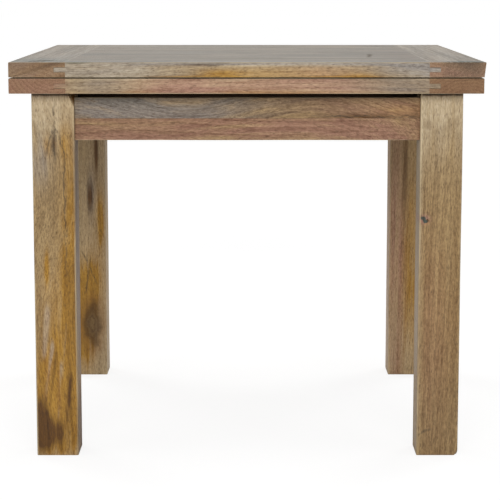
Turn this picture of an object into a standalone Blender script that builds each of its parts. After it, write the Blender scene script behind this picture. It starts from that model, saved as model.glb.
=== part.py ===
"""Butterfly extending dining table in solid mango wood.

The square top is two leaves, one folded on the other. The lower leaf slides sideways on two guide rails
inside the frame. The upper leaf then opens like a butterfly's wing on three double-pivot flap hinges, and
the two leaves lie level, side by side, over the frame.

Metres, +Z up. The origin is on the floor under the middle of the table. The planks of the top run along X.
The leaves are hinged along the -X edge, and the top slides towards +X.
"""

import math

import bmesh
import bpy
from mathutils import Vector

# Top: two leaves, each of planks tongued into an end board at either side
TOP_SIDE = 0.900
LEAF_THICKNESS = 0.0285
LEAF_GAP = 0.0022
LIFT_LIP = 0.0035
END_BOARD_WIDTH = 0.107
PLANK_COUNT = 5
TONGUE_LENGTH = 0.021
TONGUE_THICKNESS = 0.0085
ARRIS = 0.0010

# Frame: four square legs with aprons tenoned between them
LEG_HEIGHT = 0.7090
LEG_SIDE = 0.0815
LEG_ROUND = 0.0025
OVERHANG = 0.038
TOP_LIFT = 0.0010
APRON_HEIGHT = 0.082
APRON_THICKNESS = 0.024
APRON_SETBACK = 0.012
APRON_DROP = 0.0090
APRON_ROUND = 0.0012
TENON_LENGTH = 0.030
TENON_THICKNESS = 0.010
TENON_SHOULDER = 0.012

# Two corners that aren't square: natural wane on the front left leg, a knocked foot on the front right one
WANE = Vector((0.0125, 0.030, 0.030))
WANE_RADIUS = 0.120
KNOCK = Vector((0.0085, 0.030, 0.0150))
KNOCK_RADIUS = 0.050

# Corner blocks, which pull the legs to the aprons with a bolt each
BLOCK_THICKNESS = 0.026
BLOCK_CLEARANCE = 0.004
BOLT_RADIUS = 0.004
BOLT_POINT = 0.008
BOLT_IN_LEG = 0.035
BOLT_TAIL = 0.016
NUT_FLATS = 0.013
NUT_HEIGHT = 0.0065
WASHER_RADIUS = 0.010
WASHER_THICKNESS = 0.0020

# Slide: the lower leaf rests on felt on two guide rails, and its runners keep it down in their grooves
RAIL_LEG_GAP = 0.0235
RAIL_WIDTH = 0.032
RAIL_HEIGHT = 0.044
RAIL_HOUSING = 0.008
GROOVE_DEPTH = 0.012
GROOVE_HEIGHT = 0.012
GROOVE_DROP = 0.012
FELT_THICKNESS = 0.0025
FELT_MARGIN = 0.004
RUNNER_WIDTH = 0.030
RUNNER_HEIGHT = 0.032
TRAVEL = TOP_SIDE / 2

# Flap hinges: a plate let into each leaf, and a link that turns on a pin in either plate
HINGE_INSET = 0.150
HINGE_LENGTH = 0.100
LINK_LENGTH = 0.030
PLATE_REACH = 0.034
PLATE_THICKNESS = 0.0024
PLATE_DROP = 0.0001
HINGE_OPEN_GAP = 0.0016
KNUCKLE_RADIUS = 0.0025
PIN_RADIUS = 0.0013
PIN_CLEARANCE = 0.0001
SCREW_COUNT = 4
SCREW_SPACING = 0.026
SCREW_STAGGER = 0.009
SCREW_SHANK_RADIUS = 0.0020
SCREW_HEAD_RADIUS = 0.0036

# Clearances, how far a cutter runs past the wood, and the sides of a round piece
SEAT = 0.0003
RUNNING = 0.0005
PAST = 0.010
ROUND_SIDES = 16

# Places that follow from the sizes above
HALF_TOP = TOP_SIDE / 2
SHOULDER = HALF_TOP - END_BOARD_WIDTH
LEG_OUT = HALF_TOP - OVERHANG
LEG_IN = LEG_OUT - LEG_SIDE
APRON_OUT = LEG_OUT - APRON_SETBACK
APRON_IN = APRON_OUT - APRON_THICKNESS
APRON_MIDDLE = (APRON_OUT + APRON_IN) / 2
RAIL_OUT = LEG_IN - RAIL_LEG_GAP
RAIL_IN = RAIL_OUT - RAIL_WIDTH
RAIL_END = APRON_IN + RAIL_HOUSING

# Levels that follow from the sizes above
APRON_TOP = LEG_HEIGHT - APRON_DROP
APRON_LOW = APRON_TOP - APRON_HEIGHT
TENON_TOP = APRON_TOP - TENON_SHOULDER
TENON_LOW = APRON_LOW + TENON_SHOULDER
LOWER_UNDERSIDE = LEG_HEIGHT + TOP_LIFT
LOWER_FACE = LOWER_UNDERSIDE + LEAF_THICKNESS
UPPER_FACE = LOWER_FACE + LEAF_GAP
FELT_TOP = LOWER_UNDERSIDE - SEAT
FELT_LOW = FELT_TOP - FELT_THICKNESS
RAIL_TOP = FELT_LOW - SEAT
RAIL_LOW = RAIL_TOP - RAIL_HEIGHT
GROOVE_TOP = RAIL_TOP - GROOVE_DROP
GROOVE_LOW = GROOVE_TOP - GROOVE_HEIGHT
BLOCK_LOW = APRON_LOW + BLOCK_CLEARANCE
BLOCK_TOP = RAIL_LOW - BLOCK_CLEARANCE
BOLT_LEVEL = (BLOCK_LOW + BLOCK_TOP) / 2

# Hinge pivots: as deep in either leaf as the knuckles need, and set in so that the open leaves nearly meet
PIVOT_DEPTH = KNUCKLE_RADIUS + PLATE_DROP
LINK_SPAN = 2 * PIVOT_DEPTH + LEAF_GAP
PIVOT_X = (LINK_SPAN - HINGE_OPEN_GAP) / 2 - HALF_TOP
LOWER_PIVOT = LOWER_FACE - PIVOT_DEPTH
UPPER_PIVOT = UPPER_FACE + PIVOT_DEPTH

for old in list(bpy.data.objects):
    bpy.data.objects.remove(old, do_unlink=True)

table = bpy.data.collections.new("butterfly_table")
cutters = bpy.data.collections.new("cutters")
bpy.context.scene.collection.children.link(table)
bpy.context.scene.collection.children.link(cutters)


def finish(name, colour, roughness, metallic=0.0):
    """A surface of one colour."""
    material = bpy.data.materials.new(name)
    material.use_nodes = True
    shader = material.node_tree.nodes["Principled BSDF"]
    shader.inputs["Base Color"].default_value = (*colour, 1.0)
    shader.inputs["Roughness"].default_value = roughness
    shader.inputs["Metallic"].default_value = metallic
    return material


plank_wood = finish("mango_planks", (0.36, 0.27, 0.18), 0.45)
end_wood = finish("mango_end_boards", (0.31, 0.21, 0.14), 0.45)
leg_wood = finish("mango_legs", (0.36, 0.26, 0.15), 0.50)
apron_wood = finish("mango_aprons", (0.28, 0.19, 0.12), 0.50)
inner_wood = finish("planed_hardwood", (0.42, 0.31, 0.19), 0.60)
brass = finish("brass", (0.62, 0.45, 0.17), 0.32, 1.0)
steel = finish("zinc_plated_steel", (0.55, 0.56, 0.57), 0.35, 1.0)
felt = finish("felt", (0.03, 0.028, 0.026), 0.95)


def add(name, form, material, place=(0, 0, 0), turn=(0, 0, 0), carrier=None):
    """Puts a shape in its place: a piece of the table if it has a material, else a cutter."""
    mesh = bpy.data.meshes.new(name)
    form.to_mesh(mesh)
    form.free()
    piece = bpy.data.objects.new(name, mesh)
    piece.location = place
    piece.rotation_euler = turn
    if material:
        table.objects.link(piece)
        mesh.materials.append(material)
    else:
        cutters.objects.link(piece)
        piece.hide_render = True
        piece.display_type = "WIRE"
    if carrier:
        carry(piece, carrier)
    return piece


def carry(piece, carrier):
    """Hangs a piece, where it stands, on the empty that moves it."""
    bpy.context.view_layer.update()
    piece.parent = carrier
    piece.matrix_parent_inverse = carrier.matrix_world.inverted()


def axis_empty(name, place, carrier=None):
    """An empty on a joint's axis."""
    empty = bpy.data.objects.new(name, None)
    table.objects.link(empty)
    empty.location = place
    if carrier:
        carry(empty, carrier)
    return empty


def box(name, one_corner, far_corner, material=None, carrier=None):
    """A rectangular piece between two opposite corners."""
    one_corner = Vector(one_corner)
    far_corner = Vector(far_corner)
    form = bmesh.new()
    bmesh.ops.create_cube(form, size=1.0)
    size = [abs(extent) for extent in far_corner - one_corner]
    bmesh.ops.scale(form, vec=size, verts=form.verts)
    return add(name, form, material, (one_corner + far_corner) / 2, carrier=carrier)


def prism(name, outlines, start, end, axis, material=None, carrier=None):
    """A piece with one section along its whole length.

    The outlines lie across the axis, as (Y, Z) for X, (X, Z) for Y and (X, Y) for Z. The first is the
    outside, and any others are holes.
    """
    curve = bpy.data.curves.new(name, "CURVE")
    curve.dimensions = "2D"
    curve.fill_mode = "BOTH"
    curve.extrude = (end - start) / 2
    for outline in outlines:
        spline = curve.splines.new("POLY")
        spline.points.add(len(outline) - 1)
        for point, (across, up) in zip(spline.points, outline):
            point.co = (across, up, 0, 1)
        spline.use_cyclic_u = True
    drawn = bpy.data.objects.new(name, curve)
    table.objects.link(drawn)
    solid = drawn.evaluated_get(bpy.context.evaluated_depsgraph_get()).to_mesh()
    form = bmesh.new()
    form.from_mesh(solid)
    bmesh.ops.remove_doubles(form, verts=form.verts, dist=1e-6)
    bmesh.ops.recalc_face_normals(form, faces=form.faces)
    for face in form.faces:
        face.smooth = False
    bpy.data.objects.remove(drawn)
    bpy.data.curves.remove(curve)
    quarter = math.pi / 2
    middle = (start + end) / 2
    places = {"X": (middle, 0, 0), "Y": (0, middle, 0), "Z": (0, 0, middle)}
    turns = {"X": (quarter, 0, quarter), "Y": (quarter, 0, 0), "Z": (0, 0, 0)}
    return add(name, form, material, places[axis], turns[axis], carrier)


def turned(name, profile, foot, direction, material=None, carrier=None, sides=ROUND_SIDES):
    """A round piece, or one with few flat sides.

    The profile of (radius, height) points is revolved about the line from the foot in the given direction.
    """
    form = bmesh.new()
    corners = [form.verts.new((radius, 0, height)) for radius, height in profile]
    edges = [form.edges.new(pair) for pair in zip(corners, corners[1:])]
    bmesh.ops.spin(form, geom=corners + edges, cent=(0, 0, 0), axis=(0, 0, 1), angle=math.tau,
                   steps=sides, use_merge=True)
    bmesh.ops.remove_doubles(form, verts=form.verts, dist=1e-6)
    bmesh.ops.recalc_face_normals(form, faces=form.faces)
    for face in form.faces:
        face.smooth = sides == ROUND_SIDES and abs(face.normal.z) < 0.9
    turn = Vector((0, 0, 1)).rotation_difference(Vector(direction)).to_euler()
    return add(name, form, material, foot, turn, carrier)


def rod(radius, length):
    """The profile of a plain round rod."""
    return [(0, 0), (radius, 0), (radius, length), (0, length)]


def arc(centre, radius, start=0.0, end=math.tau, points=ROUND_SIDES):
    """Points along an arc from one angle to another, without the point at the end."""
    angles = [start + (end - start) * number / points for number in range(points)]
    return [(centre[0] + radius * math.cos(a), centre[1] + radius * math.sin(a)) for a in angles]


def cut(piece, cutter, operation="DIFFERENCE"):
    modifier = piece.modifiers.new(cutter.name, "BOOLEAN")
    modifier.operation = operation
    modifier.object = cutter


def ease(piece, width):
    """Rounds the arrises of a planed piece."""
    modifier = piece.modifiers.new("eased_arrises", "BEVEL")
    modifier.width = width
    modifier.segments = 2


def round_corner(piece, corner, inward, reach, radius):
    """Wears a corner of a piece round.

    The wood left lies within a ball that meets the three edges of the corner at the given reach along X, Y
    and Z. The inward signs point from the corner into the wood.
    """
    steps = [Vector((inward[0] * reach.x, 0, 0)), Vector((0, inward[1] * reach.y, 0)),
             Vector((0, 0, inward[2] * reach.z))]
    first, second, third = [Vector(corner) + step for step in steps]
    across = second - first
    along = third - first
    normal = across.cross(along)
    to_middle = across.length_squared * along.cross(normal) + along.length_squared * normal.cross(across)
    middle = first + to_middle / (2 * normal.length_squared)
    into = Vector(inward).project(normal).normalized()
    centre = middle + into * math.sqrt(radius ** 2 - (middle - first).length_squared)
    ball = bmesh.new()
    bmesh.ops.create_icosphere(ball, subdivisions=5, radius=radius)
    for face in ball.faces:
        face.smooth = True
    ball = add(piece.name + "_ball", ball, None, centre)
    waste = box(piece.name + "_corner", Vector(corner) + sum(steps, Vector()),
                Vector(corner) - Vector(inward) * PAST)
    cut(waste, ball)
    cut(piece, waste)


# Legs, with a mortise for either apron
corners = {"front_left": (-1, -1), "front_right": (1, -1), "rear_left": (-1, 1), "rear_right": (1, 1)}
mortise_low = TENON_LOW - SEAT
mortise_top = TENON_TOP + SEAT
mortise_mouth = LEG_IN - PAST
mortise_end = LEG_IN + TENON_LENGTH + SEAT
cheek_in = APRON_MIDDLE - TENON_THICKNESS / 2 - SEAT
cheek_out = APRON_MIDDLE + TENON_THICKNESS / 2 + SEAT
legs = {}
for corner, (side, end) in corners.items():
    leg = box("leg_" + corner, (side * LEG_IN, end * LEG_IN, 0),
              (side * LEG_OUT, end * LEG_OUT, LEG_HEIGHT), leg_wood)
    ease(leg, LEG_ROUND)
    cut(leg, box("mortise_x_" + corner, (side * mortise_mouth, end * cheek_in, mortise_low),
                 (side * mortise_end, end * cheek_out, mortise_top)))
    cut(leg, box("mortise_y_" + corner, (side * cheek_in, end * mortise_mouth, mortise_low),
                 (side * cheek_out, end * mortise_end, mortise_top)))
    legs[corner] = leg
round_corner(legs["front_left"], (-LEG_IN, -LEG_OUT, LEG_HEIGHT), (-1, 1, -1), WANE, WANE_RADIUS)
round_corner(legs["front_right"], (LEG_OUT, -LEG_OUT, 0), (-1, 1, 1), KNOCK, KNOCK_RADIUS)

# Aprons, each a board with a tenon at either end; the side ones are housed for the guide rails
up = Vector((0, 0, 1))
apron_end = LEG_IN - SEAT
tenon_end = LEG_IN + TENON_LENGTH
tenon_in = APRON_MIDDLE - TENON_THICKNESS / 2
tenon_out = APRON_MIDDLE + TENON_THICKNESS / 2
for name, out in (("front", (0, -1, 0)), ("rear", (0, 1, 0)), ("left", (-1, 0, 0)), ("right", (1, 0, 0))):
    out = Vector(out)
    along = up.cross(out)
    apron = box("apron_" + name, out * APRON_IN - along * apron_end + up * APRON_LOW,
                out * APRON_OUT + along * apron_end + up * APRON_TOP, apron_wood)
    ease(apron, APRON_ROUND)
    tenons = box("tenons_" + name, out * tenon_in - along * tenon_end + up * TENON_LOW,
                 out * tenon_out + along * tenon_end + up * TENON_TOP)
    cut(apron, tenons, "UNION")
    for side in (-1, 1) if name in ("left", "right") else ():
        housing = box("housing_%s_%d" % (name, side),
                      out * (APRON_IN - PAST) + along * side * (RAIL_IN - SEAT) + up * (RAIL_LOW - SEAT),
                      out * (RAIL_END + SEAT) + along * side * (RAIL_OUT + SEAT) + up * (APRON_TOP + PAST))
        cut(apron, housing)

# Corner blocks, each across a corner of the frame, with a bolt through it into the leg
block_near = LEG_IN * math.sqrt(2) - BLOCK_CLEARANCE
block_far = block_near - BLOCK_THICKNESS
block_end = APRON_IN - SEAT
near_end = block_near * math.sqrt(2) - block_end
far_end = block_far * math.sqrt(2) - block_end
plan = [(block_end, near_end), (near_end, block_end), (far_end, block_end), (block_end, far_end)]
bolt_tip = LEG_IN * math.sqrt(2) + BOLT_IN_LEG
bolt_length = bolt_tip - block_far + BOLT_TAIL
bolt_bevel = BOLT_RADIUS / 4
bolt_profile = [(0, 0), (BOLT_RADIUS, BOLT_POINT), (BOLT_RADIUS, bolt_length - bolt_bevel),
                (BOLT_RADIUS - bolt_bevel, bolt_length), (0, bolt_length)]
hole_profile = rod(BOLT_RADIUS + SEAT, bolt_length + 2 * SEAT)
washer_profile = rod(WASHER_RADIUS, WASHER_THICKNESS)
hexagon_profile = rod(NUT_FLATS / math.sqrt(3), WASHER_THICKNESS / 2 + NUT_HEIGHT)
for corner, (side, end) in corners.items():
    outward = Vector((side, end, 0)).normalized()
    level = Vector((0, 0, BOLT_LEVEL))
    hole = turned("bolt_hole_" + corner, hole_profile, outward * (bolt_tip + SEAT) + level, -outward)
    block_plan = [(side * across, end * along) for across, along in plan]
    block = prism("corner_block_" + corner, [block_plan], BLOCK_LOW, BLOCK_TOP, "Z", inner_wood)
    turned("leg_bolt_" + corner, bolt_profile, outward * bolt_tip + level, -outward, steel)
    nut_foot = outward * (block_far - SEAT) + level
    nut = turned("leg_nut_" + corner, washer_profile, nut_foot, -outward, steel)
    hexagon_foot = nut_foot - outward * WASHER_THICKNESS / 2
    hexagon = turned("nut_flats_" + corner, hexagon_profile, hexagon_foot, -outward, sides=6)
    cut(nut, hexagon, "UNION")
    for piece in (legs[corner], block, nut):
        cut(piece, hole)

# Guide rails between the side aprons, grooved on their inner faces, with felt on top
for name, side in (("front", -1), ("rear", 1)):
    groove_end = RAIL_IN + GROOVE_DEPTH
    section = [(RAIL_IN, RAIL_LOW), (RAIL_OUT, RAIL_LOW), (RAIL_OUT, RAIL_TOP), (RAIL_IN, RAIL_TOP),
               (RAIL_IN, GROOVE_TOP), (groove_end, GROOVE_TOP), (groove_end, GROOVE_LOW),
               (RAIL_IN, GROOVE_LOW)]
    section = [(side * across, up) for across, up in section]
    prism("guide_rail_" + name, [section], -RAIL_END, RAIL_END, "X", inner_wood)
    box("glide_felt_" + name, (-APRON_IN, side * (RAIL_IN + FELT_MARGIN), FELT_LOW),
        (APRON_IN, side * (RAIL_OUT - FELT_MARGIN), FELT_TOP), felt)

# The empties that carry what moves: the slide, and the two pivots of the hinges
slide = axis_empty("top_slide", (0, 0, LOWER_UNDERSIDE))
lower_pivot = axis_empty("lower_pivot", (PIVOT_X, 0, LOWER_PIVOT), slide)
upper_pivot = axis_empty("upper_pivot", (PIVOT_X, 0, UPPER_PIVOT), lower_pivot)

# Runners under the lower leaf: the side aprons stop them at either end of the slide
runner_out = RAIL_IN - RUNNING
runner_in = runner_out - RUNNER_WIDTH
runner_tip = RAIL_IN + GROOVE_DEPTH - RUNNING
runner_top = LOWER_UNDERSIDE - SEAT
runner_low = runner_top - RUNNER_HEIGHT
runner_start = -APRON_IN + RUNNING
runner_end = APRON_IN - RUNNING - TRAVEL
for name, side in (("front", -1), ("rear", 1)):
    section = [(runner_in, runner_low), (runner_out, runner_low), (runner_out, GROOVE_LOW + RUNNING),
               (runner_tip, GROOVE_LOW + RUNNING), (runner_tip, GROOVE_TOP - RUNNING),
               (runner_out, GROOVE_TOP - RUNNING), (runner_out, runner_top), (runner_in, runner_top)]
    section = [(side * across, up) for across, up in section]
    prism("runner_" + name, [section], runner_start, runner_end, "X", inner_wood, slide)

# Leaves: planks side by side, with an end board across their tongues at the left and at the right
plank_width = TOP_SIDE / PLANK_COUNT
plank_end = SHOULDER - SEAT
tongue_tip = SHOULDER + TONGUE_LENGTH
tongue_half = TONGUE_THICKNESS / 2
groove_tip = tongue_tip + SEAT
groove_half = tongue_half + SEAT
hinge_boards = {}
for leaf, low, carrier in (("lower", LOWER_UNDERSIDE, slide), ("upper", UPPER_FACE, upper_pivot)):
    high = low + LEAF_THICKNESS
    middle = low + LEAF_THICKNESS / 2
    right_end = [(plank_end, low), (plank_end, middle - tongue_half), (tongue_tip, middle - tongue_half),
                 (tongue_tip, middle + tongue_half), (plank_end, middle + tongue_half), (plank_end, high)]
    section = right_end + [(-across, up) for across, up in reversed(right_end)]
    for number in range(PLANK_COUNT):
        front = -HALF_TOP + number * plank_width + (SEAT if number else 0)
        rear = -HALF_TOP + (number + 1) * plank_width
        prism("%s_plank_%d" % (leaf, number + 1), [section], front, rear, "Y", plank_wood, carrier)
    for name, side in (("left", -1), ("right", 1)):
        edge_low = HALF_TOP - (LIFT_LIP if name == "right" else 0)
        edge_high = edge_low if leaf == "lower" else HALF_TOP
        section = [(SHOULDER, low), (edge_low - ARRIS, low), (edge_low, low + ARRIS),
                   (edge_high, high - ARRIS), (edge_high - ARRIS, high), (SHOULDER, high),
                   (SHOULDER, middle + groove_half), (groove_tip, middle + groove_half),
                   (groove_tip, middle - groove_half), (SHOULDER, middle - groove_half)]
        section = [(side * across, up) for across, up in section]
        board = prism("%s_end_%s" % (leaf, name), [section], -HALF_TOP, HALF_TOP, "Y", end_wood, carrier)
        if name == "left":
            hinge_boards[leaf] = board

# Sections of a hinge, with depths from the face of the leaf that it is let into
plate_tip = PLATE_REACH - HALF_TOP
plate_back = PLATE_DROP + PLATE_THICKNESS
link_room = KNUCKLE_RADIUS + RUNNING
bore_radius = PIN_RADIUS + PIN_CLEARANCE
pivot = (PIVOT_X, PIVOT_DEPTH)
knuckle_meets_plate = math.asin((plate_back - PIVOT_DEPTH) / KNUCKLE_RADIUS)
plate_section = arc(pivot, KNUCKLE_RADIUS, knuckle_meets_plate, math.pi * 3 / 2)
plate_section += [(PIVOT_X, PLATE_DROP), (plate_tip, PLATE_DROP), (plate_tip, plate_back)]
plate_outlines = [plate_section, arc(pivot, bore_radius)]
lower_eye = (PIVOT_X, LOWER_PIVOT)
upper_eye = (PIVOT_X, UPPER_PIVOT)
link_section = arc(upper_eye, KNUCKLE_RADIUS, 0, math.pi) + [(PIVOT_X - KNUCKLE_RADIUS, UPPER_PIVOT)]
link_section += arc(lower_eye, KNUCKLE_RADIUS, math.pi, math.tau) + [(PIVOT_X + KNUCKLE_RADIUS, LOWER_PIVOT)]
link_outlines = [link_section, arc(lower_eye, bore_radius), arc(upper_eye, bore_radius)]
screw_line = (PIVOT_X + link_room + plate_tip) / 2
countersink = SCREW_HEAD_RADIUS - SCREW_SHANK_RADIUS
sink_low = PLATE_THICKNESS + SEAT - countersink
sink_top = PLATE_THICKNESS + 2 * SEAT
screw_hole = [(0, 0), (SCREW_SHANK_RADIUS, 0), (SCREW_SHANK_RADIUS, sink_low),
              (SCREW_HEAD_RADIUS + SEAT, sink_top), (0, sink_top)]

# Hinges: plates flush in the facing sides of the leaves, links between them, and their pins
for name, place in (("front", HINGE_INSET - HALF_TOP), ("middle", 0.0), ("rear", HALF_TOP - HINGE_INSET)):
    start = place - HINGE_LENGTH / 2
    end = place + HINGE_LENGTH / 2
    link_start = place - LINK_LENGTH / 2
    link_end = place + LINK_LENGTH / 2
    for leaf, face, into in (("lower", LOWER_FACE, -1), ("upper", UPPER_FACE, 1)):
        label = "%s_%s" % (leaf, name)
        carrier = slide if leaf == "lower" else upper_pivot
        above = face - into * PAST
        outlines = [[(across, face + into * depth) for across, depth in line] for line in plate_outlines]
        plate = prism("hinge_plate_" + label, outlines, start, end, "Y", brass, carrier)
        cut(plate, box("link_notch_" + label, (-HALF_TOP - PAST, link_start - SEAT, above),
                       (PIVOT_X + link_room, link_end + SEAT, face + into * PAST)))
        for number in range(SCREW_COUNT):
            across = screw_line + (number % 2 - 0.5) * SCREW_STAGGER
            along = place + (number - (SCREW_COUNT - 1) / 2) * SCREW_SPACING
            foot = (across, along, face + into * (plate_back + SEAT))
            cut(plate, turned("screw_hole_%s_%d" % (label, number + 1), screw_hole, foot, (0, 0, -into)))
        recess = box("plate_recess_" + label, (-HALF_TOP - PAST, start - SEAT, above),
                     (plate_tip + SEAT, end + SEAT, face + into * (plate_back + SEAT)))
        trough = box("knuckle_trough_" + label, (-HALF_TOP - PAST, start - SEAT, above),
                     (PIVOT_X + link_room, end + SEAT, face + into * (PIVOT_DEPTH + link_room)))
        cut(hinge_boards[leaf], recess)
        cut(hinge_boards[leaf], trough)
    prism("hinge_link_" + name, link_outlines, link_start, link_end, "Y", brass, lower_pivot)
    for leaf, level in (("lower", LOWER_PIVOT), ("upper", UPPER_PIVOT)):
        turned("hinge_pin_%s_%s" % (leaf, name), rod(PIN_RADIUS, HINGE_LENGTH), (PIVOT_X, start, level),
               (0, 1, 0), brass, lower_pivot)
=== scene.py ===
import bpy
import numpy as np
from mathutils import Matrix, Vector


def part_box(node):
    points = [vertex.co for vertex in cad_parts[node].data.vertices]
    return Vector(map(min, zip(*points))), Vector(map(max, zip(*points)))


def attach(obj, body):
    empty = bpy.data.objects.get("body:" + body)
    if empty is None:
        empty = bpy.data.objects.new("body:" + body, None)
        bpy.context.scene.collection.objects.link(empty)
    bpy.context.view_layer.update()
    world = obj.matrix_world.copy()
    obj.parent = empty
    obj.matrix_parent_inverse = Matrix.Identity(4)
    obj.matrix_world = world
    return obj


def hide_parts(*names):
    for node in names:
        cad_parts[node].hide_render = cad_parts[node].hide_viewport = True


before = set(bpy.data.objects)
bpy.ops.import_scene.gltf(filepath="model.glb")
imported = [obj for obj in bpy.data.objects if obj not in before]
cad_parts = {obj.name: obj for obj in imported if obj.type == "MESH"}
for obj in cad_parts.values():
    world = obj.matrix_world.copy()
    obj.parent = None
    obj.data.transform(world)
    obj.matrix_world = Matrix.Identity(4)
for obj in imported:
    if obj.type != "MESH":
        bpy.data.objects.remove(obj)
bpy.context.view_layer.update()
scene = bpy.context.scene
scene.view_settings.view_transform = "Standard"


# Studio
# A white photographer's sweep: a pale floor that keeps the table's soft shadow, a white surround, one large
# soft light over the camera and weaker ones at the sides, behind and overhead. The camera stands 3.9 m off,
# just above the top.
CAMERA_PLACE = (0.00207, -3.92794, 0.92781)
CAMERA_TILT_DOWN = 0.14706
CAMERA_TURN = 0.00083
FOCAL_LENGTH_IN_PIXELS = 1843.45
PICTURE_WIDTH_IN_PIXELS = 500
SENSOR_WIDTH_MM = 36
FLOOR_REACH = 40.0
FLOOR_SHADOW_SHARE = 0.30
FLOOR_GLOW_NEAR = 1.18
FLOOR_GLOW_FAR = 1.37
FLOOR_GLOW_RISES = (2.4, 4.5)
SURROUND_LIGHT = 0.18


def linear(hex_colour):
    """A colour written as sRGB hex, as linear red, green, blue and alpha."""
    srgb = np.array([int(hex_colour[place:place + 2], 16) for place in (1, 3, 5)]) / 255
    red, green, blue = np.where(srgb <= 0.04045, srgb / 12.92, ((srgb + 0.055) / 1.055) ** 2.4).tolist()
    return red, green, blue, 1.0


def node(tree, kind, sockets=None, **settings):
    """Adds a shader node: settings are its own properties, sockets hold values or links for its inputs."""
    made = tree.nodes.new("ShaderNode" + kind)
    for name, value in settings.items():
        setattr(made, name, value)
    for socket, value in (sockets or {}).items():
        if isinstance(value, bpy.types.NodeSocket):
            tree.links.new(value, made.inputs[socket])
        else:
            made.inputs[socket].default_value = value
    return made


camera = bpy.data.objects.new("camera", bpy.data.cameras.new("camera"))
camera.location = CAMERA_PLACE
camera.rotation_euler = (np.pi / 2 - CAMERA_TILT_DOWN, 0, -CAMERA_TURN)
camera.data.sensor_width = SENSOR_WIDTH_MM
camera.data.lens = FOCAL_LENGTH_IN_PIXELS / PICTURE_WIDTH_IN_PIXELS * SENSOR_WIDTH_MM
camera.data.clip_end = 200
scene.collection.objects.link(camera)
scene.camera = camera

surround = bpy.data.worlds.new("white_surround")
scene.world = surround
surround.use_nodes = True
tree = surround.node_tree
rays = node(tree, "LightPath")
seen = node(tree, "Math", {0: rays.outputs["Is Camera Ray"], 1: rays.outputs["Is Glossy Ray"]},
            operation="MAXIMUM")
seen = node(tree, "Math", {0: seen.outputs[0], 1: rays.outputs["Is Transmission Ray"]}, operation="MAXIMUM")
strength = node(tree, "MapRange", {"Value": seen.outputs[0], "To Min": SURROUND_LIGHT, "To Max": 1.0})
tree.nodes["Background"].inputs["Color"].default_value = linear("#ffffff")
tree.links.new(strength.outputs[0], tree.nodes["Background"].inputs["Strength"])

# Matt white paper sweep: it throws light back under the table, and the camera sees part of its shadow. Past
# the lamps, from 2.4 m to 4.5 m out, it's made to glow more, so that it stays white there.
paper = bpy.data.materials.new("matt_white_paper")
paper.use_nodes = True
tree = paper.node_tree
rays = node(tree, "LightPath")
place = node(tree, "TexCoord").outputs["Object"]
grain = node(tree, "TexNoise", {"Vector": place, "Scale": 0.7, "Detail": 2})
white = node(tree, "Mix", {0: grain.outputs[0], 6: linear("#e2e2e2"), 7: linear("#e8e8e8")}, data_type="RGBA")
matt = node(tree, "BsdfDiffuse", {"Color": white.outputs[2]})
out_from_table = node(tree, "VectorMath", {0: place}, operation="LENGTH")
glow_level = node(tree, "MapRange", {"Value": out_from_table.outputs["Value"],
                                     "From Min": FLOOR_GLOW_RISES[0], "From Max": FLOOR_GLOW_RISES[1],
                                     "To Min": FLOOR_GLOW_NEAR, "To Max": FLOOR_GLOW_FAR})
glow = node(tree, "Emission", {"Color": linear("#ffffff"), "Strength": glow_level.outputs[0]})
share = node(tree, "MapRange", {"Value": rays.outputs["Is Camera Ray"], "To Max": 1 - FLOOR_SHADOW_SHARE})
mixed = node(tree, "MixShader", {0: share.outputs[0], 1: matt.outputs[0], 2: glow.outputs[0]})
tree.links.new(mixed.outputs[0], tree.nodes["Material Output"].inputs["Surface"])
floor_mesh = bpy.data.meshes.new("floor")
floor_mesh.from_pydata([(-FLOOR_REACH, -FLOOR_REACH, 0), (FLOOR_REACH, -FLOOR_REACH, 0),
                        (FLOOR_REACH, FLOOR_REACH, 0), (-FLOOR_REACH, FLOOR_REACH, 0)], [], [(0, 1, 2, 3)])
floor_mesh.materials.append(paper)
floor = bpy.data.objects.new("floor", floor_mesh)
scene.collection.objects.link(floor)

# Only the surround shows in the shine of oiled wood, so that the top has no glare from any side
for name, place, turn, size, power in (
        ("soft_light_front", (0.0, -3.4, 1.65), (1.24, 0, 0), (2.4, 1.0), 68),
        ("soft_light_left", (-2.6, -1.4, 1.3), (1.35, 0, -1.05), (1.6, 1.0), 9),
        ("soft_light_right", (2.6, -1.4, 1.3), (1.35, 0, 1.05), (1.6, 1.0), 9),
        ("soft_light_rear_left", (-2.4, 2.4, 1.6), (1.22, 0, -2.36), (1.6, 1.0), 34),
        ("soft_light_rear_right", (2.4, 2.4, 1.6), (1.22, 0, 2.36), (1.6, 1.0), 34),
        ("soft_light_above", (0.0, 0.4, 3.0), (0, 0, 0), (2.4, 2.4), 34)):
    lamp = bpy.data.objects.new(name, bpy.data.lights.new(name, "AREA"))
    lamp.location = place
    lamp.rotation_euler = turn
    lamp.data.shape = "RECTANGLE"
    lamp.data.size, lamp.data.size_y = size
    lamp.data.energy = power
    lamp.visible_glossy = False
    scene.collection.objects.link(lamp)


# Legs
# Four square posts of solid mango, sawn, planed and sanded by hand and then oiled, with soft round arrises.
# The front left post keeps a piece of the log's round on its inner top corner, with a little bark. The front
# right one has a knocked foot.
NEAR_ARRIS = 0.0006
SHORT_SIDE = 0.003
LEG_ROUND = 0.0026
LEG_END_ROUND = 0.0014
LEG_UNEVEN = 0.0005
LEG_WAVE = 0.31
LEG_MESH = (0.0022, 0.0022)
BARK_FADE = 0.0007
WANE_REACH = (0.0125, 0.030, 0.030)
WANE_RADIUS = 0.120
KNOCK_REACH = (0.0085, 0.030, 0.015)
KNOCK_RADIUS = 0.050


def spaced(start, end, step):
    """Even values from start to end, no further apart than step."""
    return np.linspace(start, end, max(int(np.ceil(abs(end - start) / step)) + 1, 2))


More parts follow.
